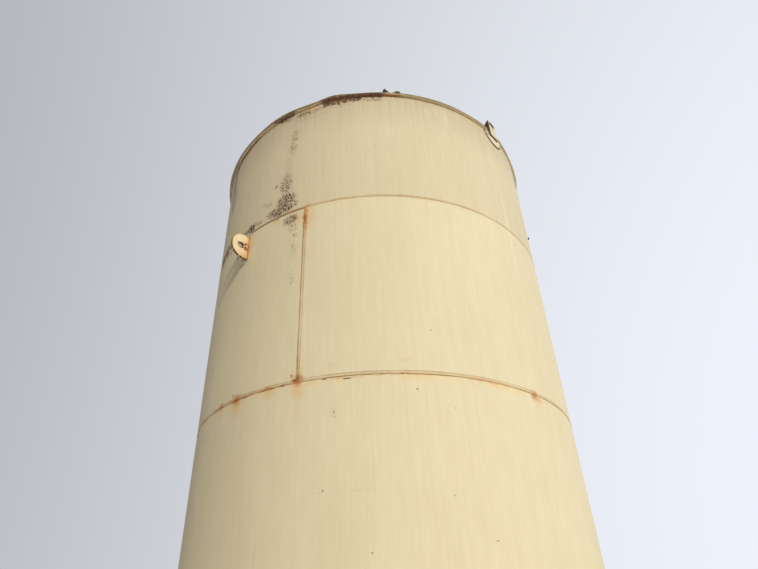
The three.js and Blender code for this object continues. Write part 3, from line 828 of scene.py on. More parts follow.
def roofWeldMarks(surface):
    # dirt and rust gather along the beads of the roof
    broken = grain(surface, 120, (0.42, 0.62), detail=4, shift=161.0)
    flecks = grain(surface, 40, (0.58, 0.66), detail=3, shift=163.0)
    return [(broken, 0.55, "#8a7450", 0.85, 0), (flecks, 0.6, rust["brown"], 0.9, 0.1)]


def rimBeadMarks(surface):
    # the weld under the lip stays wet longest: rust breaks its paint all round and has taken it off in places
    broken = grain(surface, 55, (0.42, 0.58), detail=4, shift=131.0)
    orange = between(surface, surface["azimuth"], 4, 9, 3)
    spans = [(-15, 4), (-33, -27), *backRust]
    bare = withinAny(surface, surface["azimuth"], spans, 2)
    return [
        (broken, 0.30, rust["line"], 0.9, 0.2), (orange, 0.7, "#a5632b", 0.9, 0), (bare, 0.92, "#7d5a48", 0.95, 0.2),
    ]


lug = {
    "azimuths": {"lifting_lug_front": -42.6, "lifting_lug_back": 137.4},
    "plate": 19 * mm, "height": 230 * mm, "straight": 48 * mm, "bevel": 1.6 * mm,
    "hole": 25 * mm, "holeReach": 82 * mm, "middle": tank["seams"][2] - 162 * mm, "leg": 8 * mm, "ripple": 10 * mm,
}


def lugMarks(surface):
    # flaking rust between the hole and the root, bare rusty edges, a rusty root weld
    tree = surface["tree"]
    reach = addNode(tree, "Math", {0: surface["fromAxis"], 1: tank["radius"]}, operation="SUBTRACT")
    up = addNode(tree, "Math", {0: surface["z"], 1: lug["middle"]}, operation="SUBTRACT")
    flat = addNode(tree, "CombineXYZ", {0: reach, 1: up})
    rag = grain(surface, 18, detail=4, shift=101.0)
    rag = addNode(tree, "MapRange", {0: rag, 1: 0.3, 2: 0.7, 3: -8 * mm, 4: 8 * mm})

    def ring(centreReach, start, end, soft):
        aside = addNode(tree, "VectorMath", {0: flat, 1: (centreReach, 0, 0)}, operation="SUBTRACT")
        far = addNode(tree, "VectorMath", {0: aside}, output="Value", operation="LENGTH")
        far = addNode(tree, "Math", {0: far, 1: rag}, operation="ADD")
        return between(surface, far, start, end, soft)

    hole = ring(lug["holeReach"], 0.0, lug["hole"] + 1.5 * mm, 2.5 * mm)
    flakes = ring(36 * mm, 0.0, 38 * mm, 8 * mm)
    flakes = merge(surface, flakes, grain(surface, 14, (0.42, 0.50), detail=3, shift=103.0))
    darker = merge(surface, flakes, grain(surface, 11, (0.48, 0.54), detail=2, shift=105.0))
    rim = ring(lug["straight"], lug["height"] / 2 - 5 * mm, 300 * mm, 5 * mm)
    root = addNode(tree, "MapRange", {0: reach, 1: 46 * mm, 2: 4 * mm}, interpolation_type="SMOOTHSTEP")
    foot = between(surface, reach, -20 * mm, 5 * mm, 5 * mm)
    lower = addNode(tree, "MapRange", {0: up, 1: -20 * mm, 2: -105 * mm}, interpolation_type="SMOOTHSTEP")
    nearer = addNode(tree, "MapRange", {0: reach, 1: 120 * mm, 2: 30 * mm})
    return [
        (merge(surface, lower, nearer), 0.55, "#cf9a58", None, 0),
        (root, 0.70, "#c9944c", None, 0), (foot, 0.75, rust["orange"], 0.85, 0.2),
        (merge(surface, rim, grain(surface, 40, (0.35, 0.6), shift=107.0)), 0.45, rust["brown"], 0.8, 0),
        (flakes, 0.85, "#a8603c", 0.9, 0.5), (darker, 0.95, rust["dark"], 0.9, 0.3),
        (hole, 0.85, rust["dark"], 0.9, 0.3),
    ]


# rim eye: a round-ended pad, an upright slotted plate in a notch of the lip and two gussets behind it
eye = {
    "azimuth": 50.5, "plate": 12 * mm, "left": -76 * mm, "right": 50 * mm, "low": tank["top"] - 45 * mm,
    "high": tank["top"] + 160 * mm, "corner": 26 * mm, "slotMiddle": (-18 * mm, tank["top"] + 130 * mm),
    "slotRadius": 18 * mm, "slotHalf": 27 * mm, "padRadius": 150 * mm, "padPlate": 10 * mm,
    "padMiddle": tank["top"] + 18 * mm, "padHigh": tank["top"] - 14 * mm, "gusset": 10 * mm,
    "gussetInset": 10 * mm, "gussetReach": 125 * mm, "gussetHeight": 154 * mm, "toe": 12 * mm,
    "gap": 0.3 * mm, "bevel": 1.2 * mm, "notchWide": 24 * mm,  # the notch is cut wide on the left
    "shadedSlotReach": 56 * mm,  # cut edges nearer than this to the slot's middle are its own, and take the near-black finish that paints shade inside the slot
    "bead": (7 * mm, 5.5 * mm, 9 * mm),  # half width, height and ripple
}
eye["face"] = tank["radius"] + eye["padPlate"] + 2 * eye["gap"]  # the back of the upright plate


def padMarks(surface):
    # rust creeps over the pad from its left end, under the roof's lip
    worn = patches(surface, [(46.4, tank["top"] - 30 * mm, 75, 60, 1.0), (50.0, tank["top"] - 18 * mm, 190, 16, 0.7),
                             (55.2, tank["top"] - 40 * mm, 60, 80, 1.15), (53.6, tank["top"] - 95 * mm, 80, 30, 0.8)])
    broken = grain(surface, 22, (0.40, 0.56), detail=4, shift=125.0)
    return [(merge(surface, worn, broken), 0.85, rust["umber"], 0.9, 0.4)]


def eyeMarks(surface):
    # rust grows in from the upright plate's edges and runs a little below its slot; the near-black round the slot is
    # painted shade, so that the slot reads dark
    tree = surface["tree"]
    low = addNode(tree, "MapRange", {0: surface["z"], 1: eye["low"] + 40 * mm, 2: eye["low"]},
                  interpolation_type="SMOOTHSTEP")
    left = addNode(tree, "MapRange", {0: surface["azimuth"], 1: 49.0, 2: 47.6}, interpolation_type="SMOOTHSTEP")
    rag = grain(surface, 26, (0.34, 0.58), detail=4, shift=141.0)
    slotAzimuth = eye["azimuth"] + np.degrees(eye["slotMiddle"][0] / (tank["radius"] + 16 * mm))
    run = patch(surface, slotAzimuth, eye["slotMiddle"][1] - 45 * mm, 50, 60, 0.7)
    worn = merge(surface, low, left, run, operation="MAXIMUM")
    # painted shade: near-black over and round the slot
    slotShade = patch(surface, slotAzimuth, eye["slotMiddle"][1], 54, 29, 1.0, 0.8, "unrolled")
    return [(merge(surface, worn, rag), 0.75, rust["line"], 0.9, 0.3), (slotShade, 0.9, "#2e2520", 0.9, 0)]


def bareRust(name, look):
    # carbon steel that has lost its paint: matt, layered red-brown scale with a few islands of old cream
    surface = startSurface(name)
    coats = [
        (grain(surface, 60, (0.38, 0.62), detail=4, shift=111.0), 0.9, look["second"], None, 0.2),
        (grain(surface, 18, (0.50, 0.62), detail=3, shift=113.0), 0.8, look["third"], None, 0.3),
        (grain(surface, 7, (0.40, 0.60), detail=2, shift=117.0), 0.5, rust["dark"], None, 0.3),
        (grain(surface, 48, (0.60, 0.63), detail=4, shift=119.0), look["paint"], "#d3c39b", 0.6, -0.2),
    ]
    return finishSurface(surface, look, coats)


def plainFinish(name, look):
    # one stuff all through, with a faint cloud of wear
    surface = startSurface(name)
    cloud = grain(surface, look["cloudSize"], (0.35, 0.65), detail=3, shift=121.0)
    fine = grain(surface, look["cloudSize"] / 6, (0.40, 0.60), detail=2, shift=123.0)
    coats = [(cloud, 0.6, look["second"], look["roughness"] + 0.15, 0.05), (fine, 0.25, look["third"], None, 0.08)]
    return finishSurface(surface, look, coats)


finishes = {
    "shell": weatherPaint("alkydEnamelShell", paints["shell"], shellMarks),
    "weld": weatherPaint("alkydEnamelOnWeld", paints["weld"], weldMarks),
    "roof": weatherPaint("chalkedEnamelRoof", paints["roof"], roofMarks),
    "lug": weatherPaint("alkydEnamelLug", paints["lug"], lugMarks),
    "fitting": weatherPaint("alkydEnamelFitting", paints["shell"]),
    "rimBead": weatherPaint("alkydEnamelRimWeld", paints["weld"], rimBeadMarks),
    "roofWeld": weatherPaint("chalkedEnamelRoofWeld", paints["roof"], roofWeldMarks),
    "eye": weatherPaint("alkydEnamelEye", paints["eye"], eyeMarks),
    "eyePad": weatherPaint("alkydEnamelPad", paints["shell"], padMarks),
    "rust": bareRust("rustedCarbonSteel", {
        "colour": rust["brown"], "second": "#4f382c", "third": "#8f5c36", "paint": 0.8, "roughness": 0.92}),
    "cutEdge": bareRust("rustedCutEdge", {  # a flame-cut edge sheds its paint first; its dark brown also stands in as painted shade along the lug's lower edge
        "colour": "#6b4529", "second": "#4a3224", "third": "#94683d", "paint": 0.6, "roughness": 0.9}),
    "slotEdge": bareRust("sootyCutEdge", {  # near-black rust: dark rust on the lifted scale and the weld dab, and on the slot's walls also painted shade for the dark inside the slot
        "colour": "#3b2e27", "second": "#2a221f", "third": "#5a4432", "paint": 0.15, "roughness": 0.9}),
    "eyeBead": bareRust("rustedBead", {  # brown all over, a little cream left on its crests
        "colour": "#70502f", "second": "#5a4030", "third": "#8c6436", "paint": 0.7, "roughness": 0.9}),
    "scale": bareRust("rustScale", {
        "colour": "#5c4536", "second": "#45362f", "third": "#7d5333", "paint": 0.0, "roughness": 0.95}),
    "bolt": plainFinish("zincPlatedSteel", {  # dull grey bolts, freckled with the first rust
        "colour": "#8e8b84", "second": "#7b624c", "third": "#6a4a34", "metallic": 0.6, "roughness": 0.45,
        "cloudSize": 24}),
    "gasket": plainFinish("neopreneGasket", {  # a dark line between flanges
        "colour": "#26262a", "second": "#34332f", "third": "#4a4438", "roughness": 0.75, "cloudSize": 30}),
}
print("finishes ready")


def wallOutline(low, high, rows):
    # offsets from the skin, up the outside with its rows closest at the welds, then down the inside
    steps = (1 - np.cos(np.linspace(0, pi, rows + 1))) / 2
    outside = [(0.0, low + (high - low) * step) for step in steps]
    inside = [(-tank["plate"], low + (high - low) * step) for step in (1.0, 0.5, 0.0)]
    return outside + inside


def holeCutter(neck, low, high, finish, *steps):
    # a drum a little wider than a neck, from low to high along its axis
    clear = neck["bore"] + neck["wall"] + 0.5 * mm
    drum = turnedPiece("hole", [(None, low), (clear, low), (clear, high), (None, high)], 96, finish, looped=False)
    return place(drum, *steps)


def cutAway(piece, cutters):
    for cutter in cutters:
        cut = piece.modifiers.new("cut", "BOOLEAN")
        cut.operation = "DIFFERENCE"
        cut.solver = "EXACT"
        cut.object = cutter
    settle(piece)
    for cutter in cutters:
        bpy.data.objects.remove(cutter)
    smoothPiece(piece)


shellManway = {
    "azimuth": 180, "middle": 820 * mm, "bore": 304.8 * mm, "wall": 6.35 * mm, "reach": 165 * mm,
    "inside": 40 * mm, "flange": 381 * mm, "flangePlate": 12.7 * mm, "pad": 460 * mm, "padPlate": 6.35 * mm,
    "cover": 12.7 * mm, "bolts": 24, "boltCircle": 350 * mm, "bolt": 20 * mm, "sealInset": 4 * mm, "seed": 7,
    "grip": {"half": 75 * mm, "height": 48 * mm, "sunk": 3 * mm, "bar": 7 * mm, "bend": 18 * mm},
    "gripReach": 205 * mm, "columns": 96,
}
outlet = {
    "azimuth": 270, "middle": 240 * mm, "bore": 38.95 * mm, "wall": 5.5 * mm, "reach": 150 * mm,
    "inside": 40 * mm, "flange": 95 * mm, "flangePlate": 19 * mm, "hub": 54 * mm, "hubLength": 12 * mm,
    "cover": 19 * mm, "bolts": 4, "boltCircle": 76 * mm, "bolt": 16 * mm, "sealInset": 28 * mm, "seed": 9,
    "columns": 64,
}

# the shell: four rolled courses, each a closed wall that stands for its four solids
for course, (low, high) in enumerate(zip(tank["lows"], tank["highs"]), start=1):
    outline = wallOutline(low, high, shellForm["rows"])
    wall = turnedPiece(f"shellCourse{course}", outline, shellForm["columns"], finishes["shell"], radiusAt=shellSkin)
    if course == 1:
        cutAway(wall, [holeCutter(neck, 1.2, 2.0, finishes["fitting"], *laidOut(neck))
                       for neck in (shellManway, outlet)])
    segments = [f"shell_course_{course}_segment_{segment}" for segment in (1, 2, 3, 4)]
    finishPiece(wall, "shell_enamel", *segments)
print("shell courses ready")

# welds of the shell
ringAzimuths = np.arange(0, 360, 0.5)
for index, seam in enumerate(tank["seams"], start=1):
    ring = shellPath(ringAzimuths, np.full(len(ringAzimuths), seam), True)
    bead = layBead(f"girthBead{index}", [ring], weld["halfWidth"], weld["proud"], finishes["weld"], 100 + index)
    finishPiece(bead, "weld_bead", f"girth_weld_{index}")

for index, (low, high, azimuth) in enumerate(zip(tank["lows"], tank["highs"], tank["weldAzimuths"]), start=1):
    heights = np.arange(low + weld["leg"], high - weld["leg"], 20 * mm)
    line = shellPath(np.full(len(heights), float(azimuth)), heights, False)
    bead = layBead(f"verticalBead{index}", [line], weld["halfWidth"], weld["proud"], finishes["weld"], 110 + index)
    finishPiece(bead, "weld_bead", f"vertical_weld_{index}")


def cornerBead(name, height, outwards, leg, finish, seed):
    # a fillet: a round bead sunk into the corner between two plates
    ring = shellPath(ringAzimuths, np.full(len(ringAzimuths), height), True, outwards)
    return layBead(name, [ring], leg * 0.8, leg * 0.8, finish, seed)


bottom = {"plate": tank["lows"][0], "chime": 20 * mm, "columns": 360, "waver": 1.2 * mm}
baseBead = cornerBead("baseBead", bottom["plate"] + 2 * mm, 2 * mm, weld["leg"], finishes["weld"], 121)
finishPiece(baseBead, "weld_bead", "base_weld")
rimBead = cornerBead("rimBead", tank["top"] - 2 * mm, 1 * mm, weld["leg"] * 0.9, finishes["rimBead"], 122)
finishPiece(rimBead, "rusted_steel", "roof_edge_weld")


def cutEdge(azimuths, heights):
    # a flame-cut edge wanders by about a millimetre
    angle = np.radians(azimuths)
    waves = np.sin(23 * angle + 1) + np.sin(57 * angle + 2) + np.sin(131 * angle)
    return tank["radius"] + bottom["waver"] * waves / 2


edge, thick = bottom["chime"], bottom["plate"]
floorPlate = turnedPiece(
    "bottomPlate",
    [(None, 0.0), (edge - 1 * mm, 0.0), (edge, 1 * mm), (edge, thick - 1 * mm), (edge - 1 * mm, thick), (None, thick)],
    bottom["columns"], finishes["roof"], looped=False, radiusAt=cutEdge)
finishPiece(floorPlate, "roof_enamel", "bottom_plate")
print("shell welds and bottom ready")

# the roof: a shallow cone of four plates, a little buckled between its welds
roof = {
    "overhang": 32 * mm, "rings": 30, "columns": 360, "buckle": 4.5 * mm, "edgeWaver": 1.0 * mm,
    "bent": [  # azimuth, spread, outwards and up in mm: the lip is pushed up by rust, cut short or knocked about
        (-31, 8, 9, 7), (-11, 5, 9, 15), (38, 10, -8, 0), (64, 12, -18, 0), (-118, 9, 6, 5), (160, 7, -6, -5),
    ],
    "seams": [20, 110, 200, 290], "seamStart": 60 * mm, "seamWidth": 9 * mm, "seamHeight": 3 * mm,
}
roofManway = {
    "azimuth": 168, "fromAxis": 640 * mm, "bore": 247.65 * mm, "wall": 6.35 * mm, "above": 150 * mm,
    "below": 20 * mm, "lid": 285 * mm, "lidPlate": 8 * mm, "lip": 25 * mm, "dome": 7 * mm, "columns": 96,
    "grip": {"half": 60 * mm, "height": 42 * mm, "sunk": 4 * mm, "bar": 6 * mm, "bend": 14 * mm},
    "gripAcross": -0.62,  # in multiples of the lid's radius
    "finish": "roof", "slot": "roof_enamel", "nodes": ("roof_manway_neck", "roof_manway_cover"),
}
roofNeck = {
    "azimuth": 222, "fromAxis": 1260 * mm, "bore": 103.1 * mm, "wall": 6.4 * mm, "above": 140 * mm,
    "below": 12 * mm, "lid": 124 * mm, "lidPlate": 6 * mm, "lip": 32 * mm, "dome": 9 * mm, "columns": 72,
    "grip": {"half": 34 * mm, "height": 42 * mm, "sunk": 4 * mm, "bar": 6 * mm, "bend": 14 * mm}, "gripAcross": 0.0,
    "finish": "rust", "slot": "rusted_steel", "nodes": ("roof_neck", "roof_neck_cap"),
}


def roofWave(x, y):
    # how far the plate stands off the true cone
    fromAxis = np.hypot(x, y) / tank["radius"]
    angle = np.arctan2(x, -y)
    buckle = np.sin(4 * angle + 0.6) * 0.5 + np.sin(7 * angle + 5 * fromAxis) * 0.3 + np.sin(11 * angle + 2) * 0.2
    waver = np.sin(9 * angle) * 0.4 + np.sin(26 * angle + 1) * 0.35 + np.sin(61 * angle + 2) * 0.25
    return roof["buckle"] * buckle * np.sin(pi * np.clip(fromAxis, 0, 1)) + roof["edgeWaver"] * waver * fromAxis ** 6


def onRoof(azimuth, fromAxis, above=0.0):
    angle = radians(azimuth)
    x, y = fromAxis * sin(angle), -fromAxis * cos(angle)
    return x, y, roofTop(fromAxis) + float(roofWave(x, y)) + above


radii = np.linspace(0, tank["radius"] + roof["overhang"], roof["rings"])[1:]
thick, chamfer = tank["plate"], 1 * mm
outline = [(None, roofTop(0) - thick)] + [(r, roofTop(r) - thick) for r in radii[:-1]]
outline += [(radii[-1] - chamfer, roofTop(radii[-1]) - thick), (radii[-1], roofTop(radii[-1]) - thick + chamfer)]
outline += [(radii[-1], roofTop(radii[-1]) - chamfer), (radii[-1] - chamfer, roofTop(radii[-1]))]
outline += [(r, roofTop(r)) for r in radii[-2::-1]] + [(None, roofTop(0))]
roofPlate = turnedPiece("roofPlate", outline, roof["columns"], finishes["roof"], looped=False)
for vertex in roofPlate.data.vertices:
    x, y = vertex.co.x, vertex.co.y
    vertex.co.z += float(roofWave(x, y))
    lip = min(max((hypot(x, y) - tank["radius"]) / roof["overhang"], 0), 1)  # from the shell to the lip's end
    for azimuth, spread, outwards, up in roof["bent"]:
        aside = (np.degrees(np.arctan2(x, -y)) - azimuth + 180) % 360 - 180
        bend = lip * mm * np.exp(-(aside / spread) ** 2)
        vertex.co += Vector((x, y, 0)) * (bend * outwards / max(hypot(x, y), 1)) + Vector((0, 0, bend * up))
cutters = [holeCutter(neck, 5.5, 6.2, finishes["roof"], *stoodUp(neck)) for neck in (roofManway, roofNeck)]
middle, half = (eye["left"] + eye["right"]) / 2, (eye["right"] - eye["left"]) / 2 + eye["gap"]
half, middle = half + eye["notchWide"], middle - eye["notchWide"]
inside, outside = eye["face"] - 3 * eye["gap"], eye["face"] + 0.1
notch = [(middle - half, inside), (middle + half, inside), (middle + half, outside), (middle - half, outside)]
notch = cutPlate("notch", [notch], 0.4, 1 * mm, finishes["roof"])
cutters.append(place(notch, turnTo(eye["azimuth"]), Matrix.Translation((0, 0, tank["top"])),
                     Matrix.Rotation(pi, 4, "X")))
cutAway(roofPlate, cutters)
finishPiece(roofPlate, "roof_enamel", "roof_plate")

seams = []
for azimuth in roof["seams"]:
    line = [onRoof(azimuth, r, 0.2 * mm) for r in np.arange(roof["seamStart"], tank["radius"] + 4 * mm, 25 * mm)]
    seams.append((line, [(0, 0, 1)] * len(line), False))
for neck in (roofManway, roofNeck):
    around = np.linspace(0, 2 * pi, 72, endpoint=False)
    outside = neck["bore"] + neck["wall"] + 1 * mm
    centre = turnTo(neck["azimuth"]) @ Vector((0, -neck["fromAxis"], 0))
    line = []
    for turn in around:
        x, y = centre.x + outside * cos(turn), centre.y + outside * sin(turn)
        line.append((x, y, roofTop(hypot(x, y)) + float(roofWave(x, y)) + 1 * mm))
    seams.append((line, [(0, 0, 1)] * len(line), True))
roofBeads = layBead("roofBeads", seams, roof["seamWidth"], roof["seamHeight"] + 1 * mm, finishes["roofWeld"], 131)
finishPiece(roofBeads, "weld_bead")
print("roof ready")

# lifting lugs: D-shaped flame-cut plates on edge, each welded all round its root
for index, (node, azimuth) in enumerate(lug["azimuths"].items()):
    half, start = lug["height"] / 2, tank["radius"] - 5 * mm
    roundFrom = tank["radius"] + lug["straight"]
    outline = [(start, -half)] + arcPoints((roundFrom, 0), half, -90, 90, 49) + [(start, half)]
    hole = arcPoints((tank["radius"] + lug["holeReach"], 0), lug["hole"], 360, 0, 41)[:-1]
    plate = cutPlate(node.replace("_", "-"), [outline, hole], lug["plate"], lug["bevel"], finishes["lug"],
                     finishes["cutEdge"])
    place(plate, turnTo(azimuth), Matrix.Translation((0, 0, lug["middle"])), radialStand)
    finishPiece(plate, "lug_enamel", node)

    across, up = lug["plate"] / 2 + 2 * mm, half + 2 * mm
    corners = [(-across, -up), (across, -up), (across, up), (-across, up)]
    loop = []
    for start, end in zip(corners, corners[1:] + corners[:1]):
        loop += straight(start, end, max(3, int(dist(start, end) / (6 * mm))))[:-1]
    asides, ups = np.array(loop).T
    path = shellPath(azimuth + np.degrees(asides / tank["radius"]), lug["middle"] + ups, True, 1 * mm)
    size = lug["leg"] * 0.85
    root = layBead(f"lugRootBead{index + 1}", [path], size, size, finishes["lug"], 141 + index, lug["ripple"])
    finishPiece(root, "weld_bead")
print("lifting lugs ready")


def roundPad():
    # a rolled plate on the shell, its lower edge an arc and its top cut level under the roof
    low, high, middle = eye["padMiddle"] - eye["padRadius"], eye["padHigh"], eye["padMiddle"]
    rows = low + (high - low) * (1 - np.cos(np.linspace(0.25, pi / 2, 14)))
    rows = np.clip(rows, low + 0.4 * mm, high)
    columns = 30
    azimuths, heights = [], []
    for height in rows:
        half = np.sqrt(max(eye["padRadius"] ** 2 - (height - middle) ** 2, 0.0))
        azimuths += list(eye["azimuth"] + np.degrees(np.linspace(-half, half, columns) / tank["radius"]))
        heights += [height] * columns
    azimuths, heights = np.array(azimuths), np.array(heights)
    points = np.concatenate([onShell(azimuths, heights, reach) for reach in (eye["gap"] + eye["padPlate"], -2 * mm)])
    back, rowCount = columns * len(rows), len(rows)
    faces = []
    for row in range(rowCount - 1):
        for column in range(columns - 1):
            corner = row * columns + column
            quad = (corner, corner + 1, corner + columns + 1, corner + columns)
            faces.append(quad)
            faces.append(tuple(point + back for point in reversed(quad)))
    rim = list(range(columns)) + [row * columns + columns - 1 for row in range(1, rowCount)]
    rim += [(rowCount - 1) * columns + column for column in range(columns - 2, -1, -1)]
    rim += [row * columns for row in range(rowCount - 2, 0, -1)]
    for here, following in zip(rim, rim[1:] + rim[:1]):
        faces.append((following, here, here + back, following + back))
    return makePiece("rimEyePad", points, faces, finishes["eyePad"])


pad = roundPad()
roundEdges(pad, eye["bevel"])
finishPiece(pad, "lug_enamel", "rim_eye_pad")

face = eye["face"]
left, right, corner = eye["left"], eye["right"], eye["corner"]
outline = [(left, eye["low"]), (right, eye["low"])]
outline += arcPoints((right - corner, eye["high"] - corner), corner, 0, 90, 13) + [(left, eye["high"])]
slotX, slotZ = eye["slotMiddle"]
slot = arcPoints((slotX + eye["slotHalf"], slotZ), eye["slotRadius"], 90, -90, 13)
slot += arcPoints((slotX - eye["slotHalf"], slotZ), eye["slotRadius"], 270, 90, 13)
upright = cutPlate("rimEyePlate", [outline, slot], eye["plate"], eye["bevel"], finishes["eye"], finishes["cutEdge"])
upright.data.materials.append(finishes["slotEdge"])
# the slot's walls go near-black: dark rust, and painted shade inside the slot
for polygon in upright.data.polygons:
    if polygon.material_index and hypot(polygon.center.x - slotX, polygon.center.y - slotZ) < eye["shadedSlotReach"]:
        polygon.material_index = 2
place(upright, turnTo(eye["azimuth"]), tangentStand, Matrix.Translation((0, 0, face + eye["plate"] / 2)))
finishPiece(upright, "lug_enamel", "rim_eye_plate")

inner, outer = face - eye["gap"] - eye["gussetReach"], face - eye["gap"]
web = [(inner, roofTop(inner)), (outer, roofTop(outer)), (outer, roofTop(outer) + eye["gussetHeight"]),
       (outer - eye["toe"], roofTop(outer) + eye["gussetHeight"]), (inner, roofTop(inner) + eye["toe"])]
gussetOffsets = (left + eye["gussetInset"], right - eye["gussetInset"])
for index, offset in enumerate(gussetOffsets, start=1):
    gusset = cutPlate(f"rimEyeGusset{index}", [web], eye["gusset"], eye["bevel"], finishes["rust"])
    place(gusset, turnTo(eye["azimuth"]), Matrix.Translation((offset, 0, 0)), radialStand)
    finishPiece(gusset, "rusted_steel", f"rim_eye_gusset_{index}")


def eyePath(points, away, closed=False):
    # points across, out and up in the eye's own frame
    stand = turnTo(eye["azimuth"])
    return [stand @ Vector((x, -y, z)) for x, y, z in points], [stand.to_3x3() @ Vector(away)] * len(points), closed


padFace = face - eye["gap"]
eyeLines = [eyePath(straight((x, padFace, eye["low"]), (x, padFace, eye["padHigh"])), (side, 0, 0))
            for side, x in ((-1, left), (1, right))]
eyeLines.append(eyePath(straight((left, padFace, eye["low"]), (right, padFace, eye["low"])), (0, 0, -1)))
for offset in gussetOffsets:
    for skin in (-1, 1):
        x = offset + skin * eye["gusset"] / 2
        eyeLines.append(eyePath(straight((x, inner, roofTop(inner)), (x, outer, roofTop(outer))), (0, 0, 1)))
        top = roofTop(outer) + eye["gussetHeight"]
        eyeLines.append(eyePath(straight((x, outer, roofTop(outer)), (x, outer, top)), (0, 1, 0)))
ends = np.degrees(np.arccos((eye["padMiddle"] - eye["padHigh"]) / eye["padRadius"]))
around = np.radians(np.linspace(-ends, ends, 60))
padEdge = shellPath(eye["azimuth"] + np.degrees(eye["padRadius"] * np.sin(around) / tank["radius"]),
                    eye["padMiddle"] - eye["padRadius"] * np.cos(around), False, 2 * mm)
eyeLines.append(padEdge)
halfWidth, height, ripple = eye["bead"]
eyeBeads = layBead("rimEyeBeads", eyeLines, halfWidth, height, finishes["eyeBead"], 151, ripple)
finishPiece(eyeBeads, "rusted_steel")
print("rim eye ready")


def boltTree():
    # bolts stood on a circle, each turned its own way
    tree, given = startTree("boltCircle", {
        "Count": "Int", "Circle Radius": "Float", "Seed": "Int", "Bolt": "Object", "Finish": "Material"})
    circle = addNode(tree, "GeometryNodeMeshCircle", {0: given.outputs["Count"], 1: given.outputs["Circle Radius"]})
    bolt = addNode(tree, "GeometryNodeObjectInfo", {0: given.outputs["Bolt"]}, output="Geometry")
    turn = addNode(tree, "FunctionNodeRandomValue", {2: 0.0, 3: pi / 3, "Seed": given.outputs["Seed"]}, output=1)
    turn = addNode(tree, "CombineXYZ", {2: turn})
    turn = addNode(tree, "FunctionNodeEulerToRotation", {0: turn})
    bolts = addNode(tree, "GeometryNodeInstanceOnPoints", {0: circle, 2: bolt, "Rotation": turn})
    endTree(tree, bolts, given.outputs["Finish"])
    return tree


bolting = {  # in multiples of the bolt's diameter
    "tree": boltTree(), "headHeight": 0.65, "headWidth": 0.92, "washer": 1.15, "washerPlate": 0.16, "tail": 0.35,
}


def boltShape(size, above, below):
    # head and washer on one face, washer, nut and thread end on the other
    hexRadius, height = size * bolting["headWidth"], size * bolting["headHeight"]
    plate, ring, tail = size * bolting["washerPlate"], size * bolting["washer"], size * bolting["tail"]
    parts = []
    for base, way in ((above, 1), (below, -1)):
        rows = [(None, 0.0), (ring, 0.0), (ring, plate), (None, plate)]
        parts.append(([(r, base + way * h) for r, h in rows][::way], 16))
        rows = [(None, plate), (hexRadius, plate), (hexRadius, plate + height * 0.86),
                (hexRadius * 0.88, plate + height), (None, plate + height)]
        parts.append(([(r, base + way * h) for r, h in rows][::way], 6))
    end = below - plate - height - tail
    thread = size * 0.5
    parts.append(([(None, end), (size * 0.42, end), (thread, end + 0.1 * size), (thread, below), (None, below)], 12))
    pieces = [turnedPiece("boltPart", outline, columns, finishes["bolt"], looped=False) for outline, columns in parts]
    return joined("bolt", pieces)


def boltCircle(name, flange, above, below):
    template = boltShape(flange["bolt"], above, below)
    ring = grow(name, bolting["tree"], bpy.data.meshes.new(name), {
        "Count": flange["bolts"], "Circle Radius": flange["boltCircle"], "Seed": flange["seed"], "Bolt": template,
        "Finish": finishes["bolt"]})
    bpy.data.objects.remove(template)
    smoothPiece(ring, 30)
    return ring


def gripPiece(grip, across, seat, finish):
    # a round bar bent into a grip that stands on a plate
    wide, low, high = grip["half"], seat - grip["sunk"], seat + grip["height"]
    points = [Vector(point) for point in ((-wide, across, low), (-wide, across, high), (wide, across, high),
                                          (wide, across, low))]
    track = [points[0]]
    for before, corner, after in zip(points, points[1:], points[2:]):
        start = corner + (before - corner).normalized() * grip["bend"]
        end = corner + (after - corner).normalized() * grip["bend"]
        for step in range(7):
            share = step / 6
            track.append(start * (1 - share) ** 2 + corner * 2 * share * (1 - share) + end * share ** 2)
    track.append(points[-1])
    mesh = drawnMesh("grip", [track], False, dimensions="3D", bevel_depth=grip["bar"], bevel_resolution=3,
                     use_fill_caps=True)
    points = [vertex.co.copy() for vertex in mesh.vertices]
    return makePiece("grip", points, [tuple(face.vertices) for face in mesh.polygons], finish, 50)


def domeTop(radius, height, dome, rings=8):
    # from inside the edge up to the middle
    tops = [(radius * (1 - step / rings), height + dome * (1 - (1 - step / rings) ** 2)) for step in range(1, rings)]
    return tops + [(None, height + dome)]


def discOutline(radius, low, high, chamfer):
    # a round plate from its lower pole to its upper one
    return [(None, low), (radius - chamfer, low), (radius, low + chamfer), (radius, high - chamfer),
            (radius - chamfer, high), *domeTop(radius, high, 0.0)]


def flangedNeck(name, neck, throat, mouth):
    # throat: the points from the pipe to the flange's back, each a radius and how far before it; mouth: the same
    # from the flange's face
    root, rim = tank["radius"] - tank["plate"] - neck["inside"], tank["radius"] + neck["reach"]
    back, edge, chamfer = rim - neck["flangePlate"], neck["flange"], 1 * mm
    outline = [(neck["bore"] + neck["wall"], root), *[(radius, back - before) for radius, before in throat],
               (edge - chamfer, back), (edge, back + chamfer), (edge, rim - chamfer), (edge - chamfer, rim),
               *[(radius, rim - before) for radius, before in mouth], (neck["bore"], root)]
    return place(turnedPiece(name, outline, neck["columns"], finishes["fitting"]), *laidOut(neck))


def flangeCover(name, neck, chamfer, finish):
    rim = tank["radius"] + neck["reach"]
    outline = discOutline(neck["flange"], rim + gasket["plate"], rim + neck["cover"], chamfer)
    return turnedPiece(name, outline, neck["columns"], finish, looped=False)


